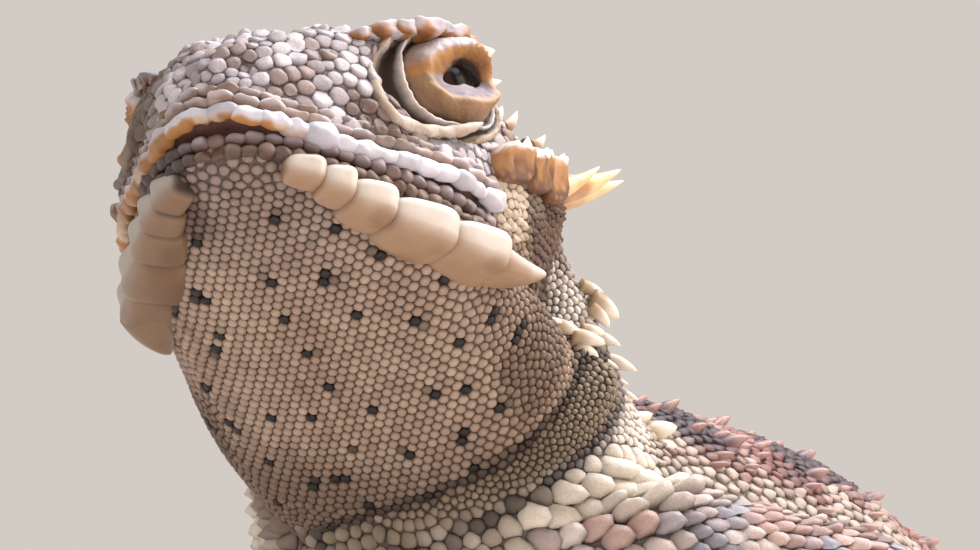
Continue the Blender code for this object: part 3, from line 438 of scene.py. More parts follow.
def body_shells():
    """Every tube of the body, a little slimmer than the solids: (points, faces, part)."""
    around = np.concatenate([[1e-6], np.linspace(0.06, 0.97, 30), [1.0], -np.linspace(0.06, 0.97, 30)[::-1]])
    angle = np.linspace(0, 2 * math.pi, 72, endpoint=False)
    rows = np.concatenate([[-1.4], np.linspace(-1.1, 1.5, 10), np.linspace(2.0, 22.0, 34), [23.4]])
    skull = skull_surface(np.minimum(rows, HEAD_END), around, -COAT)
    skull[..., 1] = rows[:, None]
    core_rows = np.linspace(1.4, 22.0, 16)
    lip = curve(SKULL[:, 0], SKULL[:, 1], core_rows)
    core = np.stack([(lip - 0.8) * np.cos(angle), np.broadcast_to(core_rows[:, None], (16, 72)),
                     2.3 + 1.5 * power(np.sin(angle), 0.6) * np.ones((16, 1))], -1)
    jaw = jaw_surface(np.concatenate([np.linspace(-0.6, 27, 44), np.linspace(27.2, 28.5, 8)]), angle, -COAT)
    found = [(closed_tube(head_to_world(skull)), "skull"), (closed_tube(head_to_world(core)), "jaw"),
             (closed_tube(head_to_world(jaw)), "jaw"),
             (closed_tube(trunk_surface(np.linspace(0, 12.9, 130), angle, -COAT)), "trunk")]
    fold = np.column_stack([THROAT_FOLD[:, :3], THROAT_FOLD[:, 3], THROAT_FOLD[:, 3]])
    found.append((closed_tube(limb_surface(fold, 40, 16)), "trunk"))
    for side in (-1, 1):
        flip = np.array([side, 1, 1])
        for kind, table in LIMBS.items():
            if side < 0 and kind == "upper_arm":           # the far arm hangs a little lower at the shoulder
                table = table + np.array([(0, 1.0, -2.7, 0, 0), (0, 1.0, -2.5, 0, 0), (0, 0.5, -1.2, 0, 0),
                                          (0, 0, -0.3, 0, 0)])
            found.append((closed_tube(limb_surface(table, 22, 28, -0.8 * COAT) * flip), kind))
        for kind, digits in DIGITS.items():
            for turn, length, radius in digits:
                table, _ = digit_table(kind, turn, length, radius)
                found.append((closed_tube(limb_surface(table, 12, 14, -0.1) * flip), kind + "_digit"))
    return found


def average(points, edges, rounds, share=0.5, keep=None):
    """Moves each point part of the way to the mean of its neighbours, then partly back, which doesn't shrink."""
    count = np.bincount(edges.ravel(), minlength=len(points))[:, None]
    for k in range(rounds):
        total = np.zeros_like(points)
        np.add.at(total, edges[:, 0], points[edges[:, 1]])
        np.add.at(total, edges[:, 1], points[edges[:, 0]])
        step = (total / np.maximum(count, 1) - points) * (share if k % 2 == 0 else -share * 1.04)
        points = points + (step if keep is None else step * keep[:, None])
    return points


shells = body_shells()
stacked, all_faces, offset = [], [], 0
for (points, faces), part in shells:
    stacked.append(points)
    for f in faces:
        all_faces += (f + offset).tolist()
    offset += len(points)
raw = bpy.data.meshes.new("raw skin")
raw.from_pydata(np.vstack(stacked).tolist(), [], all_faces)
raw_object = bpy.data.objects.new("raw skin", raw)
bpy.context.scene.collection.objects.link(raw_object)
remesh = raw_object.modifiers.new("one surface", "REMESH")
remesh.mode, remesh.voxel_size = "VOXEL", VOXEL
fine = bpy.data.meshes.new_from_object(raw_object.evaluated_get(bpy.context.evaluated_depsgraph_get()))
bpy.data.objects.remove(raw_object)
skin = np.empty(len(fine.vertices) * 3)
fine.vertices.foreach_get("co", skin)
skin = skin.reshape(-1, 3)
edges = np.empty(len(fine.edges) * 2, int)
fine.edges.foreach_get("vertices", edges)
edges = edges.reshape(-1, 2)
quads = np.empty(len(fine.loops), int)
fine.loops.foreach_get("vertex_index", quads)
sizes = np.empty(len(fine.polygons), int)
fine.polygons.foreach_get("loop_total", sizes)
print("skin:", len(skin), "points,", len(sizes), "faces,", int((sizes != 4).sum()), "not quads")
skin = average(skin, edges, 6)

# %% [markdown]
# ## Modelling the skin
# The eye lies in a hollow, which the lids and their ring folds fill later. The nostrils are small pits near the
# front. Each point also learns which part of the body it belongs to, from the nearest point of the tubes.

# %% Eye frame and hollows
NOISE = np.random.default_rng(4).normal(size=(3, 24))
NOISE_PHASE = np.random.default_rng(5).uniform(0, 2 * math.pi, 24)


def noise(points, size):
    """Soft noise between about -1 and 1: a sum of 24 waves in random directions about one size long."""
    return np.sin(points @ (NOISE * (2.2 / size)) + NOISE_PHASE).sum(axis=1) / 4.2


EYE_PLANES = {}
for side in (1, -1):
    out = unit(np.array([0.90 * side, -0.42, 0.12]))
    up = np.array([0.0, -0.5, 1.0])
    up = unit(up - out * up.dot(out))
    along = np.cross(out, up) * side          # towards the back of the head
    EYE_PLANES[side] = (EYE * [side, 1, 1], out, along * np.sign(along[1]), up)
RING_REACH = np.array([6.3, 3.6, 3.3, 3.7])   # how far the ring folds reach forwards, back, up and down


def eye_place(points, side):
    """Coordinates of head-frame points in the eye's plane: along, up, out, and 1 at the edge of the outer ring."""
    centre, out, along, up = EYE_PLANES[side]
    p = points - centre
    x, y, z = p @ along, p @ up, p @ out
    rx = np.where(x < 0, RING_REACH[0], RING_REACH[1])
    ry = np.where(y > 0, RING_REACH[2], RING_REACH[3])
    return x, y, z, np.hypot(x / rx, y / ry)


head_points = world_to_head(skin)
for side in (1, -1):
    x, y, z, ring = eye_place(head_points, side)
    crown = 1.6 * ease(1.5, 2.8, y)                        # over the eye the skin of the crown stays where it is
    near = (z > crown - 1.5) & (ring < 1.2) & (head_points[:, 0] * side > 3)
    span = np.maximum(np.hypot(x, y), 0.1)
    front = ease(-0.2, 0.5, -x / span) * (1 - ease(0.3, 0.8, y / span))
    sink = np.where(near, 2.6 * ease(-1.51, -1.49 + 0.6 * crown, z - crown)
                    * (1 - ease(0.40 + 0.40 * front, 0.98 + 0.17 * front, ring)), 0.0)
    head_points -= sink[:, None] * EYE_PLANES[side][1]
    pit = np.linalg.norm((head_points - [1.75 * side, -0.95, 6.0]) / [1.0, 0.9, 0.75], axis=1)
    head_points += np.where(pit < 1.6, 0.9 * np.exp(-(pit / 0.55) ** 2),
                            0)[:, None] * np.array([-0.3 * side, 0.95, 0])
lumps = (head_points[:, 2] > 3.2) * (head_points[:, 1] < 12.5) * (head_points[:, 1] > -2.5)
head_points[:, 2] += 0.32 * lumps * np.clip(noise(head_points, 2.1), -1, 1)
l, b, u = head_points.T
head_points[:, 2] -= 0.75 * ease(3.0, 5.0, -l) * ease(6.6, 8.2, u) * (1 - ease(4.5, 7.5, b))
skin = head_to_world(head_points)
shoulder = np.linalg.norm((skin - [-10.0, -38.5, 21.5]) / [4.5, 5.0, 3.5], axis=1)
skin = skin + np.exp(-shoulder ** 2)[:, None] * np.array([1.3, 1.4, -1.8])      # the far shoulder is drawn back

PARTS = ("skull", "jaw", "trunk", "upper_arm", "forearm", "hand", "hand_digit", "thigh", "shin", "foot", "foot_digit")
guide = KDTree(sum(len(points) for (points, _), _ in shells))
guide_part = []
for (points, _), part in shells:
    for point in points:
        guide.insert(point, len(guide_part))
        guide_part.append(PARTS.index(part))
guide.balance()
guide_part = np.array(guide_part)
part_of = guide_part[[guide.find(point)[1] for point in skin]]
print({part: int((part_of == k).sum()) for k, part in enumerate(PARTS)})

# %% Places on the trunk
DENSE = np.linspace(0, 13, 261)
DENSE_CENTRE, DENSE_LEFT, DENSE_UP, DENSE_ALONG, DENSE_ROW = trunk_axes(DENSE)


def trunk_place(points):
    """Station and angle in degrees of each point on the trunk: the cross-section whose plane is nearest to it."""
    found_s, found_a = np.empty(len(points)), np.empty(len(points))
    for start in range(0, len(points), 4000):
        p = points[start:start + 4000]
        d = p[:, None] - DENSE_CENTRE[None]
        cost = np.abs(np.einsum("ijk,jk->ij", d, DENSE_ALONG)) + 0.08 * np.linalg.norm(d, axis=2)
        k = cost.argmin(axis=1)
        d = p - DENSE_CENTRE[k]
        found_s[start:start + 4000] = DENSE[k]
        found_a[start:start + 4000] = np.degrees(np.arctan2((d * DENSE_UP[k]).sum(1), (d * DENSE_LEFT[k]).sum(1)))
    return found_s, found_a


def mesh_normals(points, faces):
    """Normal at each point: the sum of the cross products of the diagonals of the faces round it."""
    p = points[faces]
    face_normal = np.cross(p[:, 2] - p[:, 0], p[:, -1] - p[:, 1])
    total = np.zeros_like(points)
    for k in range(faces.shape[1]):
        np.add.at(total, faces[:, k], face_normal)
    return unit(total)


skin_faces = quads.reshape(-1, 4)
if signed_volume(skin, skin_faces) < 0:
    skin_faces = skin_faces[:, ::-1]
skin_normal = mesh_normals(skin, skin_faces)
skin_s, skin_angle = trunk_place(skin)
print("skin volume", round(signed_volume(skin, skin_faces) / 6000, 1), "cm3")

# %% [markdown]
# ## Markings
# The colours of the live animal: a pale tan throat with dark spots a few scales wide, a grey-brown face with paler
# raised scales, cream where the shields and large scales are, a reddish back with dark blotches on both sides of
# the spine, and a white belly. Painted light lies over them: painted shade on the far side of chin, face, neck and
# shoulder, under the neck behind the throat and in the grooves beside the throat fold, and a painted highlight
# with the roll's own olive brown on the throat fold. They are functions of the place on the body, so skin and
# scales share them.

# %% Spots and colours
THROAT_SPOTS = np.array([   # l, b and radius of the dark spots, each one to three scales wide
    (-3.5, 4.8, .40), (-0.7, 7.9, .46), (2.4, 8.3, .40), (1.3, 3.8, .42), (4.0, 5.6, .42), (5.5, 7.8, .46),
    (-0.4, 13.0, .40), (-0.2, 15.5, .46), (3.1, 11.1, .30), (-0.7, 10.5, .34), (5.9, 12.5, .50), (7.9, 11.2, .34),
    (-3.9, 22.1, .40), (-2.1, 21.8, .42), (-1.2, 24.1, .46), (5.0, 17.3, .42), (6.9, 17.8, .40), (8.0, 20.0, .48),
    (2.3, 20.6, .34), (5.6, 20.5, .42), (5.6, 22.7, .40), (-6.0, 12.6, .42), (-5.1, 11.3, .38), (-5.2, 8.8, .42),
    (9.9, 17.4, .38), (-6.2, 21.0, .36), (-2.1, 17.4, .32), (1.4, 17.6, .30), (-4.5, 17.6, .34), (9.2, 15.2, .36),
    (-0.6, 19.6, .26), (2.6, 24.0, .42), (-7.6, 10.3, .40), (-8.2, 16.2, .42), (-7.0, 24.3, .40), (9.0, 23.8, .36),
    (-9.4, 20.0, .42), (-9.0, 12.9, .36), (7.6, 15.0, .30), (-7.4, 18.6, .36), (0.9, 26.2, .38), (-4.2, 26.0, .40)])


t = np.linspace(0, len(THROAT_FOLD) - 1, 120)
FOLD_LINE = curve(np.arange(len(THROAT_FOLD)), THROAT_FOLD[:, :3], t)


def mix(first, second, share):
    return first + (second - first) * np.clip(share, 0, 1)[:, None]


def markings_and_painted_shade(points, part, s, angle):
    """Linear colour at each point, from its part, its place in the head frame and its place on the trunk."""
    p = world_to_head(points)
    l, b, u = p.T
    soft, grain = noise(points, 5.0), noise(points, 1.6)
    tan, light = linear("#9c8675"), linear("#ad9986")
    throat = mix(np.tile(tan, (len(p), 1)), light, 0.5 + 0.35 * noise(points, 1.4))
    throat = mix(throat, linear("#867670"), 0.8 * (1 - ease(1.5, 9.5, b)))
    throat = mix(throat, linear("#6c584a"),
                 0.85 * ease(19.0, 24.0, b - 0.25 * l + 0.6 * soft) * (1 - 0.5 * ease(25.5, 28, b)))
    throat = mix(throat, linear("#8f7763"), 0.6 * ease(7.0, 10.4, l + 0.1 * (b - 14)) * ease(14, 19, b))
    throat = mix(throat, linear("#6e5646"), 0.65 * ease(8.0, 10.4, np.abs(l)) * (1 - ease(15, 19, b)))
    throat = mix(throat, linear("#846a58"), 0.25 * ease(0.1, 1.0, soft))
    throat = mix(throat, linear("#57402f"),
                 0.7 * ease(7.8, 9.2, np.abs(l) + 0.5 * soft) * ease(16.5, 18.5, b) * (1 - ease(21.5, 23, b)))
    # Painted shade: the front of the throat on the far (right) side is darkened.
    throat = mix(throat, linear("#4d382f"), 0.75 * ease(1.4, 2.8, -l + 0.3 * soft) * (1 - ease(3.6, 5.4, b)))
    distance = np.hypot(l[:, None] - THROAT_SPOTS[:, 0], b[:, None] - THROAT_SPOTS[:, 1]) / THROAT_SPOTS[:, 2]
    spot = 1 - ease(0.80, 1.20, distance.min(axis=1))
    throat = mix(throat, linear("#150b08"), spot)
    face = mix(np.tile(linear("#a0969a"), (len(p), 1)), linear("#cdc6ca"), 0.5 + 0.6 * grain)
    face = mix(face, linear("#7c6155"), 0.75 * ease(0.15, 0.8, noise(points, 2.3)))
    rear = ease(12.5, 15, b)
    face = mix(face, linear("#94683f"), 0.8 * rear * ease(2.5, 5, u) * (1 - ease(8.2, 9.2, u)))
    face = mix(face, linear("#cbbba4"),
               0.9 * ease(11.5, 13.5, b) * (1 - ease(17.0, 18.2, b)) * (1 - ease(4.6, 6.0, u + 0.6 * soft)))
    face = mix(face, linear("#53361f"), 0.9 * ease(15.8, 17.4, b + 0.7 * grain) * (1 - ease(8.2, 9.4, u)))
    face = mix(face, linear("#4a342b"), 0.75 * ease(0.75, 1.15, noise(points + 9, 1.9)) * (0.35 + 0.65 * rear))
    face = mix(face, linear("#6a554b"),
               0.65 * ease(1.8, 2.8, b) * (1 - ease(5.4, 6.6, b)) * ease(3.4, 4.0, u) * (1 - ease(5.2, 6.4, u)))
    # The far (right) side of the face turns dark brown: partly its own brown and partly painted shade.
    face = mix(face, linear("#54402f"), 0.9 * ease(2.8, 5.2, -l + 0.6 * soft) * (1 - ease(8.8, 10.5, u)))
    neck = mix(np.tile(linear("#8f8074"), (len(p), 1)), linear("#cfc6bb"), 0.5 + 0.6 * grain)
    neck = mix(neck, linear("#5f473a"), 0.8 * ease(0.35, 0.9, noise(points, 3.4)))
    side_angle = np.abs(np.abs(angle) - 90)                   # 0 on the back and under the belly, 90 at the flanks
    back = mix(np.tile(linear("#74453f"), (len(p), 1)), linear("#9c6a5f"), 0.5 + 0.5 * grain)
    wave = np.mod(s - 2.40 + 0.10 * soft + 0.003 * side_angle, 1.12) / 1.12
    blotch = (1 - ease(0.24, 0.36, np.abs(wave - 0.35))) * ease(7, 14, side_angle) * (1 - ease(60, 70, side_angle))
    rear_edge = (1 - ease(0.05, 0.12, np.abs(wave - 0.72))) * ease(5, 12, side_angle) * (1 - ease(62, 74, side_angle))
    back = mix(back, linear("#b39a90"), 0.5 * rear_edge)
    back = mix(back, linear("#33242e"), 0.92 * blotch)
    back = mix(back, linear("#a1959a"), 0.8 * (1 - ease(3, 7, side_angle)))
    flank = mix(back, linear("#b5a698"), ease(64, 73, side_angle + 4 * grain))
    belly = mix(np.tile(linear("#d8ccba"), (len(p), 1)), linear("#5f5048"), 0.5 * ease(0.9, 1.25, noise(points, 3.0)))
    under = np.clip((np.where(angle < 0, -np.abs(np.sin(np.radians(angle))), np.abs(np.sin(np.radians(angle))))),
                    -1, 1)
    trunk = mix(flank, belly, ease(0.12, 0.42, -under))
    chest = mix(np.tile(linear("#8d7f74"), (len(p), 1)), linear("#a89b8d"), 0.5 + 0.5 * grain)
    chest = mix(chest, linear("#b3aaa2"), ease(9.0, 10.5, np.abs(points[:, 0])) * ease(1.12, 1.2, s))
    chest = mix(chest, linear("#cfc5b6"), ease(7.2, 8.8, np.abs(points[:, 0])) * ease(1.28, 1.42, s))
    front = mix(chest, neck, ease(0.0, 0.4, under))
    # Painted shade: dark brown under the neck, in the fold behind the throat.
    front = mix(front, linear("#5d4c3c"), 0.85 * (1 - ease(1.15, 1.34, s)) * ease(0.15, -0.15, under))
    trunk = mix(front, trunk, ease(1.7, 2.3, s))
    roll = np.full(len(p), 9.0)
    close = np.linalg.norm(points - [4, -38, 24], axis=1) < 14
    roll[close] = np.linalg.norm(points[close][:, None] - FOLD_LINE[None], axis=2).min(axis=1)
    # The bands along both sides of the roll of the throat fold, painted dark below as painted shadow.
    groove = ease(1.15, 1.5, roll) * (1 - ease(1.7, 2.3, roll))
    limb = mix(np.tile(linear("#a89a96"), (len(p), 1)), linear("#cabfb9"), 0.5 + 0.5 * grain)
    limb = mix(limb, linear("#7e828f"), 0.7 * ease(0.0, 0.5, noise(points + 50, 2.6)))
    limb = mix(limb, linear("#b98f80"), 0.6 * ease(0.0, 0.6, noise(points + 30, 3.0)))
    limb = mix(limb, linear("#5a443e"), 0.7 * ease(0.5, 0.95, noise(points, 4.2)))
    cream = (1 - ease(14.5, 17.5, np.abs(points[:, 0]))) * ease(20.2, 21.4, points[:, 2]) * ease(31, 35, -points[:, 1])
    limb = mix(limb, linear("#cfc5b6"), 0.95 * cream)
    colour = np.where((part == 0)[:, None], face, limb)
    colour = np.where((part == 1)[:, None], throat, colour)
    colour = np.where((part == 2)[:, None], trunk, colour)
    # Painted shade: the far (right) side of neck, shoulder and arm is darkened.
    colour = mix(colour, linear("#5c4a40"),
                 0.8 * ease(-4.5, -7.0, points[:, 0]) * ease(-36, -38, points[:, 1]) * (part > 1))
    behind = np.linalg.norm(np.abs(points) - [9.9, 37.2, 33.2], axis=1) + 0.5 * grain
    colour = mix(colour, linear("#c9c0b8"), 0.85 * (1 - ease(1.3, 2.4, behind)))
    # The roll of the throat fold: partly its own olive brown and partly a painted highlight.
    colour = mix(colour, linear("#7a6c58"), 0.8 * (1 - ease(1.0, 1.3, roll)))
    # Painted shadow in the grooves on both sides of the roll.
    colour = mix(colour, linear("#261b15"), 0.85 * groove)
    lip = curve(SKULL[:, 0], SKULL[:, 1], b)[:, 0]
    inside = (b < 11.5) & (u > 1.7) & (u < 3.2) & (part < 2) & (np.abs(l) < lip - 0.35)
    colour = mix(colour, linear("#8a5546"), 0.9 * inside)
    return np.clip(colour, 0.004, 0.95)


skin_tint = markings_and_painted_shade(skin, part_of, skin_s, skin_angle)
print("markings: mean colour", np.round(skin_tint.mean(axis=0), 2))

# %% [markdown]
# ## Skin material
# Reptile skin between the scales is soft keratin: matt, a little darker than the scales and warm where light gets
# into it. Most of what the eye sees is the shade of the grooves, so it is kept dark and rough, with a fine grain.

# %% Hide


def tinted_hide(name, dark, light, roughness, grain_mm, bump, subsurface, spread=0.14):
    """Keratin that reads the painted tint: fine noise makes it lighter and darker, and a bump gives the grain."""
    material, tree, shader = new_material(name)
    place = add_node(tree, "ShaderNodeTexCoord")
    tint = add_node(tree, "ShaderNodeAttribute", [("attribute_name", "tint")])
    grain = add_node(tree, "ShaderNodeTexNoise", [("Scale", 1000.0 / grain_mm), ("Detail", 3.0), ("Roughness", 0.6)],
                     [("Vector", place.outputs["Object"])])
    shade = add_node(tree, "ShaderNodeMapRange", [("From Min", 0.3), ("From Max", 0.7), ("To Min", dark),
                                                  ("To Max", light)], [("Value", grain.outputs["Fac"])])
    colour = add_node(tree, "ShaderNodeVectorMath", [("operation", "SCALE")],
                      [("Vector", tint.outputs["Color"]), ("Scale", shade.outputs["Result"])])
    tree.links.new(colour.outputs["Vector"], shader.inputs["Base Color"])
    rough = add_node(tree, "ShaderNodeMapRange", [("To Min", roughness - spread), ("To Max", roughness + spread)],
                     [("Value", grain.outputs["Fac"])])
    tree.links.new(rough.outputs["Result"], shader.inputs["Roughness"])
    relief = add_node(tree, "ShaderNodeBump", [("Strength", bump), ("Distance", 0.00012)],
                      [("Height", grain.outputs["Fac"])])
    tree.links.new(relief.outputs["Normal"], shader.inputs["Normal"])
    shader.inputs["IOR"].default_value = 1.5
    shader.inputs["Subsurface Weight"].default_value = subsurface
    shader.inputs["Subsurface Radius"].default_value = (1.0, 0.45, 0.25)
    shader.inputs["Subsurface Scale"].default_value = 0.0006
    return material


hide = tinted_hide("soft hide between the scales", 0.34, 0.52, 0.75, 0.25, 0.5, 0.0)
skin_piece = make_piece("skin", skin, skin_faces, hide, skin_tint)
flesh = ["head", "lower_jaw", "throat", "neck", "torso", "tail_base", "tail_middle", "tail_tip"]
flesh += [f"{kind}_{word}" for kind in ("upper_arm", "forearm", "hand", "thigh", "shin", "foot")
          for word in ("left", "right")]
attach(skin_piece, "root")
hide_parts(*flesh)

# %% [markdown]
# ## Where the scales grow
# Scales of a lizard don't overlap at random: each one pushes its neighbours away, so they settle into a packing
# that is nearly a honeycomb. The same happens here. Roots are sown with a distance that depends on the place on
# the body, and then each root moves to the middle of its own cell again and again.

# %% Plan of the scales
skin_triangles = np.vstack([skin_faces[:, [0, 1, 2]], skin_faces[:, [0, 2, 3]]])
skin_tree = BVHTree.FromPolygons(skin.tolist(), skin_triangles.tolist())


def lie_of(points, normal, part, s, angle):
    """Direction in the skin that the tips of the scales point to: backwards, or down the limb."""
    way = np.tile(HEAD_AXES[:, 1], (len(points), 1))
    on_trunk = part == 2
    station = np.clip((s[on_trunk] * 20).astype(int), 0, 260)
    low = (1 - ease(1.7, 2.2, s[on_trunk])) * ease(0.3, -0.1, np.sin(np.radians(angle[on_trunk])))
    outwards = DENSE_LEFT[station] * np.sign(points[on_trunk, :1])
    way[on_trunk] = DENSE_ALONG[station] * (1 - 0.85 * low)[:, None] + outwards * low[:, None]
    for k, name in enumerate(PARTS):
        if k < 3:
            continue
        table = LIMBS[name.replace("_digit", "")]
        here = part == k
        axis = unit(table[-1, :3] - table[0, :3])
        if name.endswith("digit"):
            axis = unit(np.array([0.5, -1.0, 0.0]))
        sign = np.sign(points[here, 0])[:, None]
        way[here] = axis * np.column_stack([sign, np.ones_like(sign), np.ones_like(sign)])
    return unit(way - normal * (way * normal).sum(1)[:, None])


def scale_plan(points, part, s, angle, normal):
    """Distance between scales in millimetres, 0 where none grow, their height, and how pointed they are."""
    p = world_to_head(points)
    l, b, u = p.T
    far = np.abs(l)
    size, height, point = np.full(len(p), 0.8), np.full(len(p), 0.26), np.zeros(len(p))
    throat = 0.62 - 0.16 * ease(6.5, 10.0, far) - 0.22 * ease(22.0, 27.0, b) - 0.10 * ease(10, 2, b)
    jaw = part == 1
    size[jaw], height[jaw] = throat[jaw], (0.40 * throat)[jaw]
    face = part == 0
    cheek = ease(12.5, 14.5, b) * (1 - ease(7.2, 8.6, u))
    rugose = ease(-0.5, 0.7, noise(points, 1.9))
    size[face] = ((0.55 + 0.32 * rugose) * (1 - cheek) + 0.46 * cheek + 0.16 * ease(9.0, 12.0, u) * (1 - cheek))[face]
    height[face] = (0.14 + 0.10 * rugose)[face]
    point[face] = (0.35 + 0.2 * cheek)[face]
    trunk = part == 2
    under = -np.sin(np.radians(angle))
    body = 0.80 + 0.24 * ease(0.1, 0.5, under)
    front = 0.50 - 0.10 * ease(-0.2, 0.2, under) + 0.55 * ease(0.2, 0.7, under) * ease(1.26, 1.44, s)
    size_trunk = front + (body - front) * ease(1.7, 2.4, s)
    fold = (1 - ease(1.05, 1.35, s)) * ease(0.1, 0.3, under)
    size_trunk = size_trunk + (0.34 - size_trunk) * fold
    tail = ease(7.6, 8.6, s)
    size_trunk = size_trunk + (1.05 - 0.09 * (s - 8) - size_trunk) * tail
    size[trunk] = size_trunk[trunk]
    height[trunk] = (0.24 - 0.08 * ease(0.1, 0.5, under) * ease(2, 2.4, s) + 0.10 * tail)[trunk]
    point[trunk] = (0.35 * ease(1.2, 2.2, s) + 0.4 * tail + 0.25 * ease(0.2, -0.4, under))[trunk]
    x, y, z = np.abs(points[:, 0]), -points[:, 1], points[:, 2]
    large = ease(7.2, 8.4, x) * (1 - ease(15.5, 18.5, x)) * ease(31.5, 34.5, y) * ease(17.8, 19.5, z) * (1 - ease(24.0, 25.2, z))
    large = np.where(part == 2, large * ease(1.28, 1.42, s), large)
    for name, plain, high, sharp in (("upper_arm", 0.85, 0.22, 0.9), ("forearm", 1.0, 0.26, 0.8),
                                     ("hand", 0.62, 0.18, 0.4),
                                     ("hand_digit", 0.50, 0.15, 0.4), ("thigh", 1.15, 0.28, 0.8),
                                     ("shin", 1.0, 0.25, 0.8), ("foot", 0.62, 0.18, 0.4),
                                     ("foot_digit", 0.52, 0.15, 0.4)):
        here = part == PARTS.index(name)
        size[here], height[here], point[here] = plain, high, sharp
    grows = (part == 2) | (part == 3)
    size = np.where(grows, size + (1.60 - size) * large, size)
    height = np.where(grows, height + 0.34 * large, height)
    point = np.where(grows, np.maximum(point, 1.0 * large), point)
    for side in (1, -1):
        x, y, z, ring = eye_place(p, side)
        size[(ring < 1.0) & (z > -2.5 + 3.0 * ease(1.5, 2.8, y)) & (l * side > 3)] = 0
    lip = curve(SKULL[:, 0], SKULL[:, 1], b)[:, 0]
    mouth = (b > -1.2) & (b < 13) & (u > 1.2) & (u < 3.5) & (far < lip - 0.25)
    size[mouth & (part < 2)] = 0
    size[(points[:, 2] < 0.05)] = 0
    return size, height, point


skin_size, _, _ = scale_plan(skin, part_of, skin_s, skin_angle, skin_normal)
cross = np.cross(skin[skin_triangles[:, 1]] - skin[skin_triangles[:, 0]],
                 skin[skin_triangles[:, 2]] - skin[skin_triangles[:, 0]])
skin_area = 0.5 * np.linalg.norm(cross, axis=1)
print("skin area", round(skin_area.sum() / 100, 1), "cm2")

# %% [markdown]
# Eight times too many points are sown first, then each point that is kept clears its surroundings. What stays is
# even but not regular, and a few rounds of moving to the middle of the cell make it regular where there is room.

# %% Roots


def sow(excess, seed):
    """Random points with a density of 1 / (0.866 * distance^2), thinned so that none are too close."""
    corner = skin_size[skin_triangles]
    density = np.where(corner.min(1) > 0, skin_area / (0.866 * np.maximum(corner.mean(1), 0.1) ** 2), 0)
    rng = np.random.default_rng(seed)
    pick = rng.choice(len(density), int(density.sum() * excess), p=density / density.sum())
    r1, r2 = np.sqrt(rng.random(len(pick)))[:, None], rng.random(len(pick))[:, None]
    a, b, c = (skin[skin_triangles[pick, k]] for k in range(3))
    points = (1 - r1) * a + r1 * (1 - r2) * b + r1 * r2 * c
    size = corner[pick].mean(1)
    lookup = KDTree(len(points))
    for k, point in enumerate(points):
        lookup.insert(point, k)
    lookup.balance()
    alive = np.ones(len(points), bool)
    kept = []
    for k in range(len(points)):
        if alive[k]:
            kept.append(k)
            for _, j, _ in lookup.find_range(points[k], 0.82 * size[k]):
                alive[j] = False
    print("sown:", len(kept), "of", len(points), "wanted", int(density.sum()))
    return points[kept]


def settle(points):
    """Nearest point of the skin for each, with the smooth normal there and the numbers of the triangle's corners."""
    found = [skin_tree.find_nearest(point) for point in points]
    place = np.array([f[0] for f in found])
    corner = skin_triangles[[f[2] for f in found]]
    return place, unit(skin_normal[corner].sum(1)), corner


def cell_reach(points, normal, forward, near, size, angles, sharp=9.0):
    """Reach of each cell at each angle: the borders to the neighbours, each in proportion to the two sizes, joined
    by a power mean that rounds the corners."""
    d = points[near] - points[:, None]
    side = np.cross(normal, forward)
    x, y = (d * forward[:, None]).sum(-1), (d * side[:, None]).sum(-1)
    length = np.maximum(np.hypot(x, y), 1e-4)
    border = length * size[:, None] / (size[:, None] + size[near])
    border = np.where((normal[near] * normal[:, None]).sum(-1) < 0.1, 99.0, border)
    cosine = (x / length)[..., None] * np.cos(angles) + (y / length)[..., None] * np.sin(angles)
    q = ((np.maximum(cosine, 0) / border[..., None]) ** sharp).sum(1) + (1 / (0.70 * size[:, None])) ** sharp
    return q ** (-1 / sharp)


def neighbours(points, count=9):
    lookup = KDTree(len(points))
    for k, point in enumerate(points):
        lookup.insert(point, k)
    lookup.balance()
    return np.array([[j for _, j, _ in lookup.find_n(point, count + 1)][1:] for point in points])


def throat_rows(pitch):
    """Rows of beads over the throat, half a bead out of step: even along the middle line, even along each arc."""
    b = np.linspace(2.0, 24.0, 900)
    middle = jaw_surface(b, np.array([-0.5 * math.pi]), -COAT)[:, 0]
    travel = np.concatenate([[0], np.cumsum(np.linalg.norm(np.diff(middle, axis=0), axis=1))])
    found = []
    for row, station in enumerate(np.interp(np.arange(0, travel[-1], 0.866 * pitch), travel, b)):
        arc = jaw_surface([station], np.linspace(-0.92 * math.pi, -0.08 * math.pi, 300), -COAT)[0]
        length = np.concatenate([[0], np.cumsum(np.linalg.norm(np.diff(arc, axis=0), axis=1))])
        length -= np.interp(0.0, arc[:, 0], length)
        mid = (np.arange(-14, 15) + 0.5 * (row % 2)) * pitch
        mid = mid[np.abs(mid) < min(8.0, 0.8 * length[-1])]
        found.append(np.column_stack([np.interp(mid, length, arc[:, k]) for k in range(3)]))
    return head_to_world(np.vstack(found))


roots = sow(7, 21)
rows = throat_rows(0.61)
row_tree = KDTree(len(rows))
for k, spot in enumerate(rows):
    row_tree.insert(spot, k)
row_tree.balance()
roots = np.vstack([roots[[row_tree.find(spot)[2] > 0.55 for spot in roots]], rows])
turns = np.linspace(0, 2 * math.pi, 12, endpoint=False)
roots, root_normal, root_corner = settle(roots)
for k in range(24):
    if k % 2 == 0:
        near = neighbours(roots)
    size = np.maximum(skin_size[root_corner].max(1), 0.3)
    forward = unit(np.cross(root_normal, [0.31, 0.17, 0.94]))
    reach = cell_reach(roots, root_normal, forward, near, size, turns)
    side = np.cross(root_normal, forward)
    area = (reach ** 2).sum(1)
    cx = (2 / 3) * (reach ** 3 * np.cos(turns)).sum(1) / area
    cy = (2 / 3) * (reach ** 3 * np.sin(turns)).sum(1) / area
    roots, root_normal, root_corner = settle(roots + 1.3 * (cx[:, None] * forward + cy[:, None] * side))
near = neighbours(roots)
root_part = part_of[root_corner[:, 0]]
root_s, root_angle = trunk_place(roots)
size, height, point = scale_plan(roots, root_part, root_s, root_angle, root_normal)
forward = lie_of(roots, root_normal, root_part, root_s, root_angle)
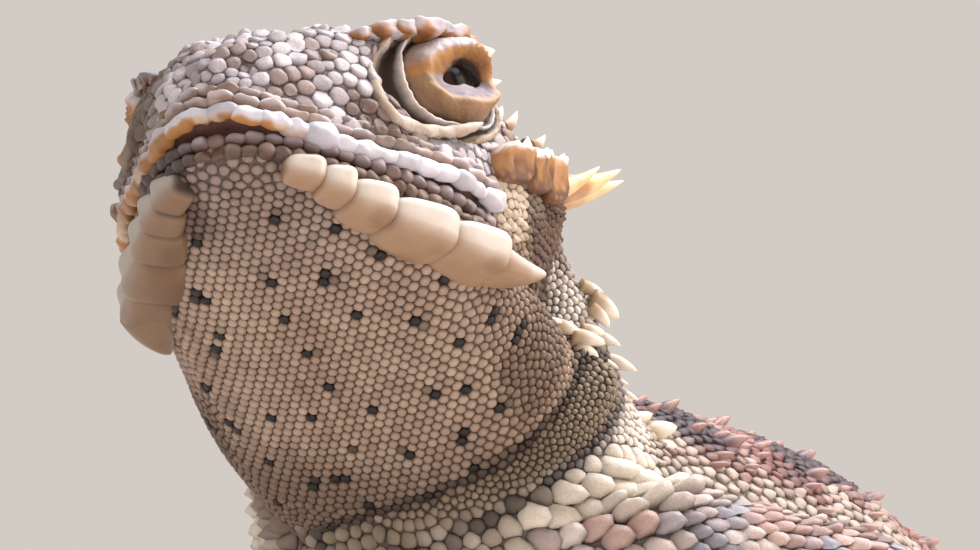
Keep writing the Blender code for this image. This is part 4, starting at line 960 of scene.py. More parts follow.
root_tint = markings_and_painted_shade(roots, root_part, root_s, root_angle)
print("scales:", len(roots))

# %% [markdown]
# ## The scales
# Each scale is a small closed body: its outline is its cell, its sides rise steeply from the skin and its top is a
# dome. Where the species has keeled or pointed scales, the rear end is drawn out to a tip and lifted, and a ridge
# runs along the middle. Eight to fourteen corners and three or four rings are enough for each.

# %% Scale bodies


def chart(points, part, s, angle, normal):
    """Unwrap of the skin: angle round the axis of the part against the length along it, each part in its own strip."""
    p = world_to_head(points)
    across = 0.5 + np.arctan2(p[:, 0], p[:, 2] - 2.0) / (2 * math.pi)
    length = (p[:, 1] + 3) / 34
    trunk = part == 2
    across = np.where(trunk, 0.5 + angle / 360, across)
    length = np.where(trunk, s / 13, length)
    strips = {3: (0.0, 0.5), 4: (0.5, 0.5), 5: (0.0, 0.4), 6: (0.4, 0.6), 7: (0.0, 0.5), 8: (0.5, 0.5), 9: (0.0, 0.4),
              10: (0.4, 0.6)}
    for k, (low, share) in strips.items():
        here = part == k
        table = LIMBS[PARTS[k].replace("_digit", "")]
        q = points[here] * np.column_stack([np.sign(points[here, 0]), np.ones(here.sum()), np.ones(here.sum())])
        if k in (6, 10):
            middle = table[-1, :3]
            above = normal[here, 2] > 0
            across[here] = np.where(above, 0.0, 0.5) + 0.5 * np.clip((q[:, 0] - middle[0] + 9) / 20, 0, 1)
            length[here] = low + share * np.clip((middle[1] + 3 - q[:, 1]) / 16, 0, 1)
            continue
        axis = unit(table[-1, :3] - table[0, :3])
        one = unit(np.cross(axis, [0.3, 0.2, 1.0]))
        d = q - table[0, :3]
        span = np.linalg.norm(table[-1, :3] - table[0, :3])
        across[here] = 0.5 + np.arctan2(d @ np.cross(axis, one), d @ one) / (2 * math.pi)
        length[here] = low + share * np.clip((d @ axis + 3) / (span + 6), 0, 1)
    return 0.02 + 0.96 * np.column_stack([across, np.clip(length, 0, 1)])


def grow_scales(name, chosen, material, rings=((0.98, -0.4), (1.0, 0.22), (0.90, 0.66), (0.58, 0.94)),
                gap=0.03, keel=0.25, rough=0.10, longer=0.55, lift=0.0, shades=(0.30, 0.62, 0.92, 1.06), corners=8,
                painted_root_shade=0.0):
    """Closed scales at the chosen roots: rings of (share of the outline, share of the height) and a top point."""
    picks = np.flatnonzero(chosen)
    n, k = len(picks), len(rings)
    corner_turns = np.linspace(0, 2 * math.pi, corners, endpoint=False)
    p, up, way = roots[picks], root_normal[picks], forward[picks]
    across = np.cross(up, way)
    rng = np.random.default_rng(len(picks))
    reach = cell_reach(roots, root_normal, forward, near, np.maximum(size, 0.3), corner_turns)[picks]
    reach = np.maximum(reach - gap * size[picks][:, None] ** 0.5, 0.12)
    sharp = point[picks][:, None]
    cosine, sine = np.cos(corner_turns)[None], np.sin(corner_turns)[None]
    drawn = reach * (1 + longer * sharp * np.maximum(cosine, 0) ** 5 - 0.10 * sharp * np.maximum(-cosine, 0))
    x, y = drawn * cosine, drawn * sine
    tall = height[picks] * (0.85 + 0.3 * rng.random(n))
    length = np.maximum(drawn.max(1), 0.1)[:, None]
    tilt = (1 - 0.6 * sharp) + 0.75 * sharp * (0.5 + 0.5 * x / length)
    keeled = 1 + keel * sharp * np.exp(-(y / (0.4 * length)) ** 2)
    rock = rough * rng.normal(size=(2, n, 1))
    layers = []
    for share, rise in rings:
        z = tall[:, None] * rise * np.where(rise > 0, tilt * keeled, 1) + (rock[0] * x + rock[1] * y) * (rise > 0.5)
        z = z + lift * tall[:, None] * sharp * np.clip(0.5 + 0.5 * share * x / length, 0, 1) ** 2 * (rise > 0)
        layers.append(p[:, None] + share * (x[..., None] * way[:, None] + y[..., None] * across[:, None])
                      + z[..., None] * up[:, None])
    top = p + up * (tall * (1 - 0.25 * sharp[:, 0] + (keel + 0.3 * lift) * sharp[:, 0]))[:, None]
    points = np.concatenate([np.stack(layers, 1).reshape(n, -1, 3), top[:, None]], 1)
    pressed = points[..., 2] < 0.06   # scales that rest on the ground are pressed flat by it
    points[..., 2] = np.where(pressed, 0.06 + 0.15 * (points[..., 2] - 0.06), points[..., 2])
    each = k * corners + 1
    base = np.arange(n)[:, None, None] * each
    wall = grid_faces(k, corners)[None] + base
    j = np.arange(corners)
    cap = np.column_stack([(k - 1) * corners + j, (k - 1) * corners + (j + 1) % corners, np.full(corners, each - 1)])
    cap = cap[None] + base
    under = np.arange(corners)[::-1][None, None] + base
    # Painted shade and highlight: each ring's tint is scaled by its entry in shades, darkest at the foot and brightest
    # at the top point, and the end towards the tip is lighter than the end away from it.
    shade = np.concatenate([(np.array(shades[:k])[:, None] * (1 + painted_root_shade * cosine)).ravel(), [shades[-1] * 1.05]])
    own = 1 + 0.07 * rng.normal(size=(n, 1, 1))
    tint = np.clip(root_tint[picks][:, None] * shade[None, :, None] * own, 0.003, 0.95)
    flat = np.concatenate([np.tile(np.stack([cosine[0], sine[0]], -1)[None], (k, 1, 1))
                           * np.array([share for share, _ in rings])[:, None, None], np.zeros((1, corners, 2))])[:k]
    patch = np.concatenate([flat.reshape(-1, 2), [[0, 0]]]) * 0.0014
    place = chart(p, root_part[picks], root_s[picks], root_angle[picks], up)
    uv = (place[:, None] + patch[None]).reshape(-1, 2)
    piece = make_piece(name, points.reshape(-1, 3),
                       [wall.reshape(-1, 4), cap.reshape(-1, 3), under.reshape(-1, corners)],
                       material, tint.reshape(-1, 3), uv=uv)
    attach(piece, "root")
    print(name, n, "scales,", n * (corners * 2 * (k - 1) + corners + corners - 2), "triangles")
    return piece


keratin = tinted_hide("dry keratin of the scales", 0.86, 1.08, 0.52, 0.12, 0.35, 0.06)
few = ((0.98, -0.5), (0.99, 0.38), (0.68, 0.92))
beads = ((0.98, -0.4), (1.0, 0.10), (0.92, 0.55), (0.62, 0.92))
plates = ((0.96, -0.5), (1.0, 0.35), (0.84, 0.80), (0.46, 1.0))
leaves = ((0.72, -0.5), (1.0, 0.22), (0.90, 0.62), (0.60, 0.92))
# Each shades tuple scales the tint ring by ring: painted shade towards the foot of each scale and a painted highlight
# at its top. soft is a gentler set for the throat.
soft = (0.45, 0.66, 0.90, 1.03)
grows = size > 0
right = roots[:, 0] < 0
grow_scales("throat_scales", grows & (root_part == 1), keratin, beads, gap=0.012, rough=0.05,
            shades=soft,
            corners=10)
grow_scales("face_scales", grows & (root_part == 0), keratin, plates, gap=-0.012, keel=0.5, rough=0.12,
            shades=(0.36, 0.66, 0.95, 1.03), corners=12)
on_trunk = grows & (root_part == 2)
chest = on_trunk & (root_s < 2.0) & (np.sin(np.radians(root_angle)) < 0.1)
grow_scales("chest_scales", chest, keratin, leaves, gap=-0.015, keel=0.30, longer=1.05,
            lift=1.5, corners=14, painted_root_shade=0.16)
grow_scales("neck_scales", on_trunk & (root_s < 2.0) & ~chest, keratin, corners=10)
grow_scales("back_scales", on_trunk & (root_s >= 2.0) & (root_s < 8) & (root_angle > -6) & (root_angle < 186),
            keratin,
            few)
grow_scales("belly_scales", on_trunk & (root_s >= 2.0) & (root_s < 8) & ~((root_angle > -6) & (root_angle < 186)),
            keratin, few)
grow_scales("tail_scales", on_trunk & (root_s >= 8), keratin, few)
for word, here in (("left", ~right), ("right", right)):
    grow_scales(f"arm_scales_{word}", grows & here & np.isin(root_part, (3, 4)), keratin, leaves, gap=-0.01,
                keel=0.30, longer=1.0, lift=1.2, corners=14, painted_root_shade=0.14)
    grow_scales(f"hand_scales_{word}", grows & here & np.isin(root_part, (5, 6)), keratin, few)
    grow_scales(f"leg_scales_{word}", grows & here & np.isin(root_part, (7, 8)), keratin, few, lift=0.8)
    grow_scales(f"foot_scales_{word}", grows & here & np.isin(root_part, (9, 10)), keratin, few)

# %% [markdown]
# ## Plates
# The shields of the jaw, the scales of the lips, the brow and the temple are all cushions: longer than wide, with a
# squarish outline, a domed top and rounded edges. One function makes any number of them from their centres, three
# axes each and a few numbers for how square they are and how far they flare.

# %% Cushions


def cushions(centres, along, out, up, square=0.7, dome=0.8, flare=0.0, rows=15, columns=22, taper=0.0):
    """Closed cushions: along the row the section shrinks by (1 - |t|^k)^(1/k), and the section is a circle whose
    cosine and sine are raised to a power below 1; flare shears the top outwards and taper narrows the rear."""
    n = len(centres)
    t = np.cos(np.linspace(math.pi, 0, rows))
    t[0], t[-1] = -0.9995, 0.9995
    k = 2 / square
    share = (1 - np.abs(t) ** k) ** (1 / k)
    angle = np.linspace(0, 2 * math.pi, columns, endpoint=False)
    y, z = power(np.cos(angle), dome), power(np.sin(angle), dome)
    thin = share[:, None] * (1 - taper * (0.5 + 0.5 * t))[:, None]
    a = np.broadcast_to(t[:, None], (rows, columns))
    b, c = y[None] * thin, z[None] * thin
    b = b + flare * np.maximum(c, 0) * thin
    points = (centres[:, None, None] + a[None, ..., None] * along[:, None, None]
              + b[None, ..., None] * out[:, None, None] + c[None, ..., None] * up[:, None, None])
    faces = grid_faces(rows, columns)
    ends = [np.arange(columns)[None, ::-1], np.arange(columns)[None] + (rows - 1) * columns]
    found = []
    for index in range(n):
        flat = points[index].reshape(-1, 3)
        group = [faces, np.vstack(ends)]
        if signed_volume(flat, faces) < 0:
            group = [f[:, ::-1] for f in group]
        found.append((flat, group))
    return found, a, b, c


def stack(pieces, tints):
    """Joins cushions and their colours into the arrays of one mesh."""
    points, groups, offset = [], {}, 0
    for flat, group in pieces:
        points.append(flat)
        for f in group:
            groups.setdefault(f.shape[1], []).append(f + offset)
        offset += len(flat)
    return np.vstack(points), [np.vstack(g) for g in groups.values()], np.vstack(tints)


def head_vectors(vectors):
    return np.asarray(vectors, float) @ HEAD_AXES.T


CONE_ROWS, CONE_COLUMNS = 9, 12
cone_share = np.concatenate([np.repeat(np.linspace(0, 1, CONE_ROWS), CONE_COLUMNS), [0, 1]])


def cone(root, tip, radius, sink=0.6, bend=0.18, fat=0.78):
    """Horn from root to tip: the radius falls as (1 - t)^fat, and the middle sags, so that the tip turns up."""
    root, tip = np.asarray(root, float), np.asarray(tip, float)
    axis = unit(tip - root)
    start = root - axis * sink
    span = np.linalg.norm(tip - start)
    across = unit(np.cross(axis, [0, 0, 1.0]))
    rise = np.cross(across, axis)
    t = np.linspace(0, 1, CONE_ROWS)[:, None]
    angle = np.linspace(0, 2 * math.pi, CONE_COLUMNS, endpoint=False)[None]
    width = radius * ((1 - t) ** fat + 0.015)
    rings = (start + axis * (span * t)[..., None] - rise * (bend * span * np.sin(math.pi * t) * 0.5)[..., None]
             + across * (width * np.cos(angle))[..., None] + rise * (width * np.sin(angle))[..., None])
    return closed_tube(rings)


horny = tinted_hide("smooth horn of the shields", 0.92, 1.05, 0.40, 0.9, 0.10, 0.12, 0.08)

# %% [markdown]
# ## Eyes and lids
# The eye is a dark ball. Round it the lids and two ring folds form one sheet of skin: thick rolls with beaded rims
# at the opening, a groove, the first ring, a second groove and the outer ring, which sinks under the scales. The
# sheet is drawn as profiles in twelve directions round the eye, read off the photograph, with a smooth curve
# through them.

# %% Eyeball
EYE_BALL = 2.66


def eye_frame(side):
    """Centre and axes of the eye in world millimetres: backwards, up and out."""
    centre, out, along, up = EYE_PLANES[side]
    return head_to_world(centre), *(HEAD_AXES @ v for v in (along, up, out))


def place_eye(side, x, y, z):
    centre, along, up, out = eye_frame(side)
    return centre + x[..., None] * along + y[..., None] * up + z[..., None] * out


eye_material, tree, shader = new_material("wet dark eye")
eye_tint = add_node(tree, "ShaderNodeAttribute", [("attribute_name", "tint")])
tree.links.new(eye_tint.outputs["Color"], shader.inputs["Base Color"])
shader.inputs["Roughness"].default_value = 0.20
shader.inputs["IOR"].default_value = 1.34
shader.inputs["Specular IOR Level"].default_value = 0.10
for side, word in ((1, "left"), (-1, "right")):
    polar = np.linspace(0.012, math.pi - 0.012, 60)[:, None]
    angle = np.linspace(0, 2 * math.pi, 64, endpoint=False)[None]
    bulge = EYE_BALL * (1 + 0.045 * np.exp(-(polar / 0.55) ** 2))
    points, faces = closed_tube(place_eye(side, bulge * np.sin(polar) * np.cos(angle),
                                          bulge * np.sin(polar) * np.sin(angle),
                                          bulge * np.cos(polar) + 0 * angle))
    from_front = np.concatenate([np.repeat(polar[:, 0], 64), [0.0, math.pi]])
    tint = mix(np.tile(linear("#0b0908"), (len(points), 1)), linear("#33221a"), ease(0.30, 0.34, from_front))
    tint = mix(tint, linear("#120d0b"), ease(0.70, 0.80, from_front))
    ball = make_piece(f"eyeball_{word}", points, faces, eye_material, tint)
    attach(ball, "root")
    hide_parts(f"eye_{word}")

# %% Profiles of lids and rings
# angle round the eye (0 forwards, 90 up, 180 backwards), then reach from the middle and height over the centre of
# the eye at: inner margin, edge, inner rim, outer rim, lid, foot of the lid, groove, ring, groove, outer ring, groove
LID_PROFILES = (
    (0, (1.30, 1.46, 1.90, 2.55, 2.95, 3.25, 3.50, 4.10, 4.60, 5.50, 5.95, 6.60),
        (2.15, 2.45, 2.52, 2.60, 2.30, 1.80, 1.30, 2.08, 0.95, 1.15, 0.50, 0.00)),
    (25, (0.85, 1.02, 1.69, 2.58, 3.00, 3.30, 3.55, 4.04, 4.35, 5.30, 5.70, 6.30),
         (2.42, 2.66, 2.78, 2.95, 2.60, 1.90, 1.45, 2.20, 1.50, 1.45, 0.90, 0.40)),
    (50, (0.72, 0.90, 1.35, 1.98, 2.54, 2.95, 3.20, 3.70, 3.95, 4.40, 4.70, 5.30),
         (2.50, 2.72, 2.98, 3.35, 3.05, 2.20, 1.75, 2.35, 1.70, 1.70, 1.40, 1.00)),
    (90, (0.78, 0.98, 1.22, 1.55, 2.00, 2.45, 2.75, 2.95, 3.15, 3.45, 3.75, 4.20),
         (2.50, 2.75, 3.05, 3.62, 3.50, 2.80, 2.30, 2.30, 1.90, 1.80, 1.50, 1.00)),
    (130, (1.18, 1.38, 1.52, 1.84, 2.33, 2.70, 2.90, 3.05, 3.20, 3.40, 3.70, 4.10),
          (2.35, 2.63, 3.00, 3.60, 3.50, 2.85, 2.15, 1.90, 1.60, 1.30, 0.90, 0.30)),
    (157, (1.38, 1.62, 1.70, 1.86, 2.15, 2.50, 2.75, 2.92, 3.15, 3.35, 3.60, 4.00),
          (2.20, 2.70, 3.10, 3.62, 3.55, 2.85, 2.10, 1.80, 1.40, 1.10, 0.80, 0.20)),
    (190, (1.40, 1.60, 1.75, 1.95, 2.20, 2.50, 2.80, 3.00, 3.20, 3.40, 3.70, 4.05),
          (2.20, 2.58, 2.75, 2.98, 2.95, 2.50, 2.00, 1.80, 1.55, 1.40, 1.00, 0.40)),
    (212, (0.95, 1.12, 1.72, 2.44, 2.60, 2.78, 2.98, 3.15, 3.32, 3.50, 3.75, 4.15),
          (2.30, 2.52, 2.85, 3.25, 2.85, 2.20, 1.80, 2.00, 1.85, 1.90, 1.45, 0.80)),
    (232, (0.48, 0.62, 1.35, 2.15, 2.38, 2.62, 2.90, 3.10, 3.30, 3.50, 3.80, 4.25),
          (2.45, 2.68, 2.98, 3.35, 3.00, 2.30, 1.85, 2.20, 2.05, 2.20, 1.80, 1.10)),
    (270, (0.32, 0.46, 1.10, 1.82, 2.08, 2.42, 2.72, 3.00, 3.20, 3.55, 3.85, 4.45),
          (2.54, 2.74, 2.98, 3.42, 3.25, 2.60, 2.15, 2.70, 2.30, 2.90, 2.40, 1.80)),
    (290, (0.34, 0.48, 1.16, 1.86, 2.16, 2.55, 2.80, 3.15, 3.42, 3.75, 4.10, 4.70),
          (2.52, 2.76, 2.98, 3.44, 3.22, 2.45, 2.10, 2.95, 2.40, 3.00, 2.45, 1.80)),
    (305, (0.38, 0.54, 1.24, 2.00, 2.40, 2.72, 2.95, 3.55, 3.85, 4.20, 4.55, 5.20),
          (2.50, 2.75, 2.94, 3.34, 3.00, 2.35, 1.95, 2.88, 2.25, 2.80, 2.20, 1.60)),
    (320, (0.52, 0.70, 1.48, 2.25, 2.62, 2.86, 3.12, 3.85, 4.20, 4.85, 5.25, 5.85),
          (2.44, 2.68, 2.86, 3.12, 2.82, 2.18, 1.75, 2.50, 1.75, 2.30, 1.70, 1.10)),
    (335, (0.85, 1.02, 1.78, 2.52, 2.92, 3.10, 3.42, 4.03, 4.45, 5.25, 5.65, 6.30),
          (2.34, 2.60, 2.72, 2.92, 2.50, 1.92, 1.40, 2.22, 1.20, 1.65, 1.05, 0.50)),
    (347, (1.14, 1.30, 1.92, 2.62, 2.98, 3.20, 3.48, 4.10, 4.58, 5.48, 5.90, 6.55),
          (2.24, 2.52, 2.60, 2.74, 2.38, 1.82, 1.30, 2.10, 0.95, 1.20, 0.55, 0.05)))
# Painted light in this table: the near-black inner margin (0.0 to 0.8) is painted shade in the opening, the dark
# grooves at 5.7 to 6.2, 7.6 to 8.2 and 10.0 are painted shade, and the pale grey of the upper lid from 3.0 to 4.4 is a
# painted highlight from above.
LID_SHADES = (   # station on the profile, colour on the upper lid, colour on the lower lid
    (0.0, "#0d0806", "#0d0806"), (0.8, "#1d120c", "#3a2a22"), (1.1, "#4a2f1c", "#b3a6aa"),
    (1.6, "#96673a", "#978b90"),
    (2.3, "#a87643", "#8f8287"), (2.7, "#b98a58", "#b99877"), (3.0, "#c4bcbf", "#9c7a57"),
    (4.4, "#bfb5b8", "#8c6b4d"),
    (5.2, "#b5a394", "#8a6a4f"), (5.7, "#35251b", "#2a1d16"), (6.2, "#35251b", "#2a1d16"),
    (6.6, "#dcd4d6", "#d9d1d0"),
    (7.15, "#dcd4d6", "#d6ccc6"), (7.6, "#33251e", "#33251e"), (8.2, "#33251e", "#33251e"),
    (8.6, "#c3b3a2", "#c9b9a4"),
    (9.5, "#b0a08e", "#b7a58c"), (10.0, "#43352c", "#43352c"), (11.0, "#6b5a50", "#6b5a50"))


def lid_surface(side, columns=264, rows=72):
    """Lids and rings as a closed grid, with its colours: the profiles run on behind, inside the head."""
    way = np.array([row[0] for row in LID_PROFILES], float)
    reach, rise = (np.array([row[k] for row in LID_PROFILES]) for k in (1, 2))
    way = np.concatenate([way[-3:] - 360, way, way[:3] + 360])
    reach, rise = (np.vstack([table[-3:], table, table[:3]]) for table in (reach, rise))
    turn = np.linspace(0, 360, columns, endpoint=False)
    reach, rise = curve(way, reach, turn), curve(way, rise, turn)
    step = np.linspace(0, 11, rows)
    r = curve(np.arange(12.0), reach.T, step)
    z = curve(np.arange(12.0), rise.T, step)
    upper = ease(2, 12, turn) * (1 - ease(186, 198, turn))
    bead = 0.5 + 0.5 * np.cos(np.radians(turn) * 29 + 0.8 * np.sin(np.radians(turn) * 5))
    rim = np.exp(-((step[:, None] - 3.1) / 0.45) ** 2)
    rough = 0.012 + 0.13 * ease(100, 130, turn) * (1 - ease(180, 196, turn))
    r, z = r + rough * bead * rim, z + rough * bead * rim
    fine = np.exp(-((step[:, None] - 7.0) / 0.5) ** 2) + np.exp(-((step[:, None] - 9.0) / 0.5) ** 2)
    z = z + 0.05 * fine * (0.5 + 0.5 * np.cos(np.radians(turn) * 47 + 1.5 * np.sin(step[:, None])))
    x, y = -r * np.cos(np.radians(turn)), r * np.sin(np.radians(turn))
    centre, along, up, out = eye_frame(side)
    ground = np.zeros((rows, columns))
    for i in range(rows - 26, rows):
        for j in range(columns):
            start = centre + x[i, j] * along + y[i, j] * up + 7 * out
            hit = skin_tree.ray_cast(Vector(start), Vector(-out))
            ground[i, j] = 7 - hit[3] if hit[0] is not None else z[i, j]
    rest = np.where(step < 9, 0.50 - 0.3 * (9 - step),
                    np.where(step < 10, 0.50 - 0.45 * (step - 9), 0.05 - 0.75 * (step - 10)))
    settled = ground + rest[:, None]
    share = ease(7.6, 9.0, step)[:, None]
    z = z + (settled - z) * share
    back_r = np.vstack([r[-1:] * 0.98, r[-1:] * 0.6, np.full((1, columns), 1.0)])
    back_z = np.vstack([z[-1:] - 0.9, np.minimum(z[-1:] - 1.2, 0.6), np.full((1, columns), 1.7)])
    cosine, sine = -np.cos(np.radians(turn)), np.sin(np.radians(turn))
    x, y, z = np.vstack([x, back_r * cosine]), np.vstack([y, back_r * sine]), np.vstack([z, back_z])
    points = place_eye(side, x, y, z).reshape(-1, 3)
    points[:rows * columns] += (0.035 * noise(points[:rows * columns], 0.45))[:, None] * out
    place = np.array([row[0] for row in LID_SHADES])
    lid_upper, lid_lower = (np.array([linear(row[k]) for row in LID_SHADES]) for k in (1, 2))
    shades = [np.column_stack([np.interp(step, place, table[:, k]) for k in range(3)])
              for table in (lid_upper, lid_lower)]
    orange = ((ease(2.6, 2.9, step) * (1 - ease(5.0, 5.5, step)))[:, None]
              * np.maximum(1 - ease(14, 34, turn), ease(118, 134, turn))[None])
    top = shades[0][:, None] + (linear("#b07c46") - shades[0][:, None]) * orange[..., None]
    tint = shades[1][:, None] + (top - shades[1][:, None]) * upper[None, :, None]
    # Painted shade: the hollows between the beads of the upper rim are darkened.
    tint = tint * (1 - 0.28 * (1 - bead)[None, :, None] * rim[..., None]
                   * (ease(90, 120, turn) * upper)[None, :, None])
    tint = np.vstack([tint.reshape(-1, 3), np.tile(linear("#54443a"), (3 * columns, 1))])
    faces = grid_faces(rows + 3, columns, wrap_rows=True)
    if signed_volume(points, faces) < 0:
        faces = faces[:, ::-1]
    return points, faces, np.clip(tint * (1 + 0.10 * noise(points, 0.7))[:, None], 0.003, 0.95)


lid_skin = tinted_hide("skin of the eyelids", 0.84, 1.06, 0.55, 0.20, 0.5, 0.12, 0.10)
for side, word in ((1, "left"), (-1, "right")):
    points, faces, tint = lid_surface(side)
    lids = make_piece(f"eyelids_{word}", points, faces, lid_skin, tint)
    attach(lids, "root")

# %% Outer fold of the orbit
ROLL = np.array([(6.62, 4.15, 7.9, 0.12), (6.85, 4.05, 6.9, 0.26), (7.05, 4.1, 5.95, 0.33), (7.2, 4.3, 5.4, 0.34),
                 (7.42, 4.65, 5.0, 0.34),
                 (7.75, 5.25, 4.74, 0.34), (8.2, 6.05, 4.75, 0.34), (8.6, 6.8, 4.9, 0.34), (9.0, 7.6, 5.15, 0.33),
                 (9.6, 8.6, 5.65, 0.32),
                 (10.2, 9.6, 6.35, 0.30), (10.6, 10.4, 7.0, 0.14)])
for side, word in ((1, "left"), (-1, "right")):
    k = np.arange(len(ROLL))
    row = curve(k, ROLL, np.linspace(0, k[-1], 40))
    table = np.column_stack([head_to_world(row[:, :3] * [side, 1, 1]), row[:, 3], row[:, 3]])
    points, faces = closed_tube(limb_surface(table, 70, 20))
    points = points + (0.04 * noise(points, 0.5))[:, None] * [0, 0, 1]
    tint = mix(np.tile(linear("#a5917c"), (len(points), 1)), linear("#c9bcb0"), 0.5 + 0.5 * noise(points, 0.9))
    # Painted shade: the fold round the far (right) eye is darkened to 0.35.
    fold = make_piece(f"outer_eye_fold_{word}", points, faces, lid_skin, tint * (1.0 if side > 0 else 0.35))
    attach(fold, "root")
print("eyes and lids made")

# %% [markdown]
# ## Shields of the jaw
# Each side has seven, larger towards the back, and the last is a spine. They flare outwards like a shelf: their
# undersides are honey tan, and their upper rims catch the sky.

# %% Jaw shields
JAW_RIM = np.array([(-0.6, 2.4, 0.4), (0.4, 4.0, 0.2), (1.5, 5.4, -0.1), (3.0, 6.7, -0.4), (5.0, 8.0, -0.7),
                    (8.2, 10.0, -0.7), (11.9, 11.8, -0.6), (14.0, 12.4, -0.4)])
JAW_SHIELDS = ((0.1, 1.3, 0.95, 0.70), (1.3, 2.6, 1.2, 0.85), (2.6, 4.75, 1.5, 0.98), (4.75, 8.15, 1.85, 1.12),
               (8.15, 11.5, 1.95, 1.15))


def shield_tint(points, b_rim, height):
    """Honey below, pale at the rim: by the height within the shield. b_rim is not used."""
    # The pale colour towards the top is a painted highlight, where the upper rims face the sky; the honey below is the
    # shields' own colour.
    tint = mix(np.tile(linear("#a5866a"), (len(points), 1)), linear("#d5cbc0"), height)
    tint = mix(tint, linear("#8a684c"), 0.6 * ease(0.1, 0.9, noise(points, 2.2)) * (1 - height))
    return tint


def make_shields(side):
    centres, axes = [], []
    for front, rear, reach, thick in JAW_SHIELDS:
        first, last = (np.array([*curve(JAW_RIM[:, 0], JAW_RIM[:, 1], v)[0], v, 0]) for v in (front, rear))
        row = last - first
        lie = row / np.linalg.norm(row)
        away = np.array([lie[1], -lie[0], 0])
        level = curve(JAW_RIM[:, 0], JAW_RIM[:, 2], (front + rear) / 2)[0, 0]
        reach = reach if side > 0 else 0.84 * reach
        centres.append(0.5 * (first + last) - away * (reach - 0.15 if side > 0 else reach + 0.05)
                       + [0 if side > 0 else -0.55, 0, level])
        axes.append((lie * 0.56 * np.linalg.norm(row), away * reach * 0.9, np.array([0, 0, thick * 0.92])))
    flip = np.array([side, 1, 1])
    centres = np.array(centres) * flip
    lie, away, rise = (np.array([a[k] for a in axes]) * flip for k in range(3))
    pieces, a, b, c = cushions(head_to_world(centres), head_vectors(lie), head_vectors(away), head_vectors(rise),
                               square=0.58 if side > 0 else 0.42, dome=0.72 if side > 0 else 0.6, flare=0.22,
                               taper=-0.28 if side > 0 else -0.5, rows=23, columns=34)
    share = np.clip(0.5 + 0.5 * (0.7 * c + 0.9 * (b - 0.35)), 0, 1).ravel()
    # Painted shadow: each shield is darkened towards both ends, where it meets its neighbours, more on the far side.
    painted_seam_shadow = (1 - (0.4 if side > 0 else 0.7) * ease(0.72, 1.0, np.abs(a))).ravel()[:, None]
    # Painted shade: the shields of the far (right) side are darkened to 0.60.
    tints = [shield_tint(flat, None, ease(0.35, 0.95, share)) * painted_seam_shadow * (1.0 if side > 0 else 0.60) for flat,
             _ in pieces]
    t = np.linspace(0, 1, 26)[:, None]
    angle = np.linspace(0, 2 * math.pi, 30, endpoint=False)[None]
    root, tip = np.array([9.7, 11.1, -0.75]), np.array([12.1, 15.6, -0.5] if side > 0 else [9.4, 13.4, -3.0])
    lie = unit(tip - root)
    away = unit(np.cross(lie, [0, 0, 1.0]))
    rise = np.cross(away, lie)
    width = (1 - t) ** 0.62 * (1 - 0.25 * np.exp(-(t / 0.08) ** 2)) + 0.012
    spine = (root + (tip - root) * t[..., None] + away * (1.85 * width * power(np.cos(angle), 0.85))[..., None]
             + rise * (1.15 * width * power(np.sin(angle), 0.85) + 0.5 * t ** 2 - 0.25
                       * np.sin(math.pi * t))[..., None])
    points, faces = closed_tube(head_to_world(spine * flip))
    # Painted highlight: the spine is painted paler on its upper side.
    up_share = np.concatenate([np.clip(0.5 + 0.5 * np.sin(angle) + 0.4 * t, 0, 1).ravel(), [0.5, 1.0]])
    pieces.append((points, faces))
    # Painted shade: the far (right) spine is darkened to 0.60.
    tints.append(shield_tint(points, None, ease(0.3, 0.95, up_share)) * (1.0 if side > 0 else 0.60))
    return pieces, tints


for side, word in ((1, "left"), (-1, "right")):
    points, faces, tints = stack(*make_shields(side))
    piece = make_piece(f"jaw_shields_{word}", points, faces, horny, tints)
    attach(piece, "root")
print("jaw shields:", 2 * (len(JAW_SHIELDS) + 1))

# %% [markdown]
# ## Lips
# The upper lip overhangs: a row of long scales runs round the snout, brightly lit from above. Under it a row of
# round beads lies in the shade, on the rim of the lower jaw.

# %% Lip scales


def path_frames(path, step, length_share=0.56):
    """Places at equal steps along a path, with the direction of the path there scaled to half a step."""
    gap = np.linalg.norm(np.diff(path, axis=0), axis=1)
    travel = np.concatenate([[0], np.cumsum(gap)])
    count = int(travel[-1] / step)
    mid = (np.arange(count) + 0.5) * travel[-1] / count
    place = np.column_stack([np.interp(mid, travel, path[:, k]) for k in range(3)])
    ahead = np.column_stack([np.interp(mid + 0.2, travel, path[:, k]) for k in range(3)])
    back = np.column_stack([np.interp(mid - 0.2, travel, path[:, k]) for k in range(3)])
    return place, unit(ahead - back), travel[-1] / count * length_share, mid / travel[-1]


def lip_path(last, lift, out):
    """Edge of the upper lip from the left corner of the mouth round the snout to the right one."""
    b = np.concatenate([np.linspace(last, -1.0, 60), [-1.35, -1.5]])
    row = curve(SKULL[:, 0], SKULL[:, [1, 4]], b)
    left = np.column_stack([row[:, 0] + out, b - 0.25 * (b < 0), row[:, 1] + lift])
    return np.vstack([left, (left * [-1, 1, 1])[::-1]])


def jaw_path(last, drop, out):
    b = np.concatenate([np.linspace(last, -0.3, 60), [-0.6, -0.7]])
    row = curve(JAW[:, 0], JAW[:, 1:3], b)
    left = np.column_stack([row[:, 0] + out, b, row[:, 1] - drop])
    return np.vstack([left, (left * [-1, 1, 1])[::-1]])


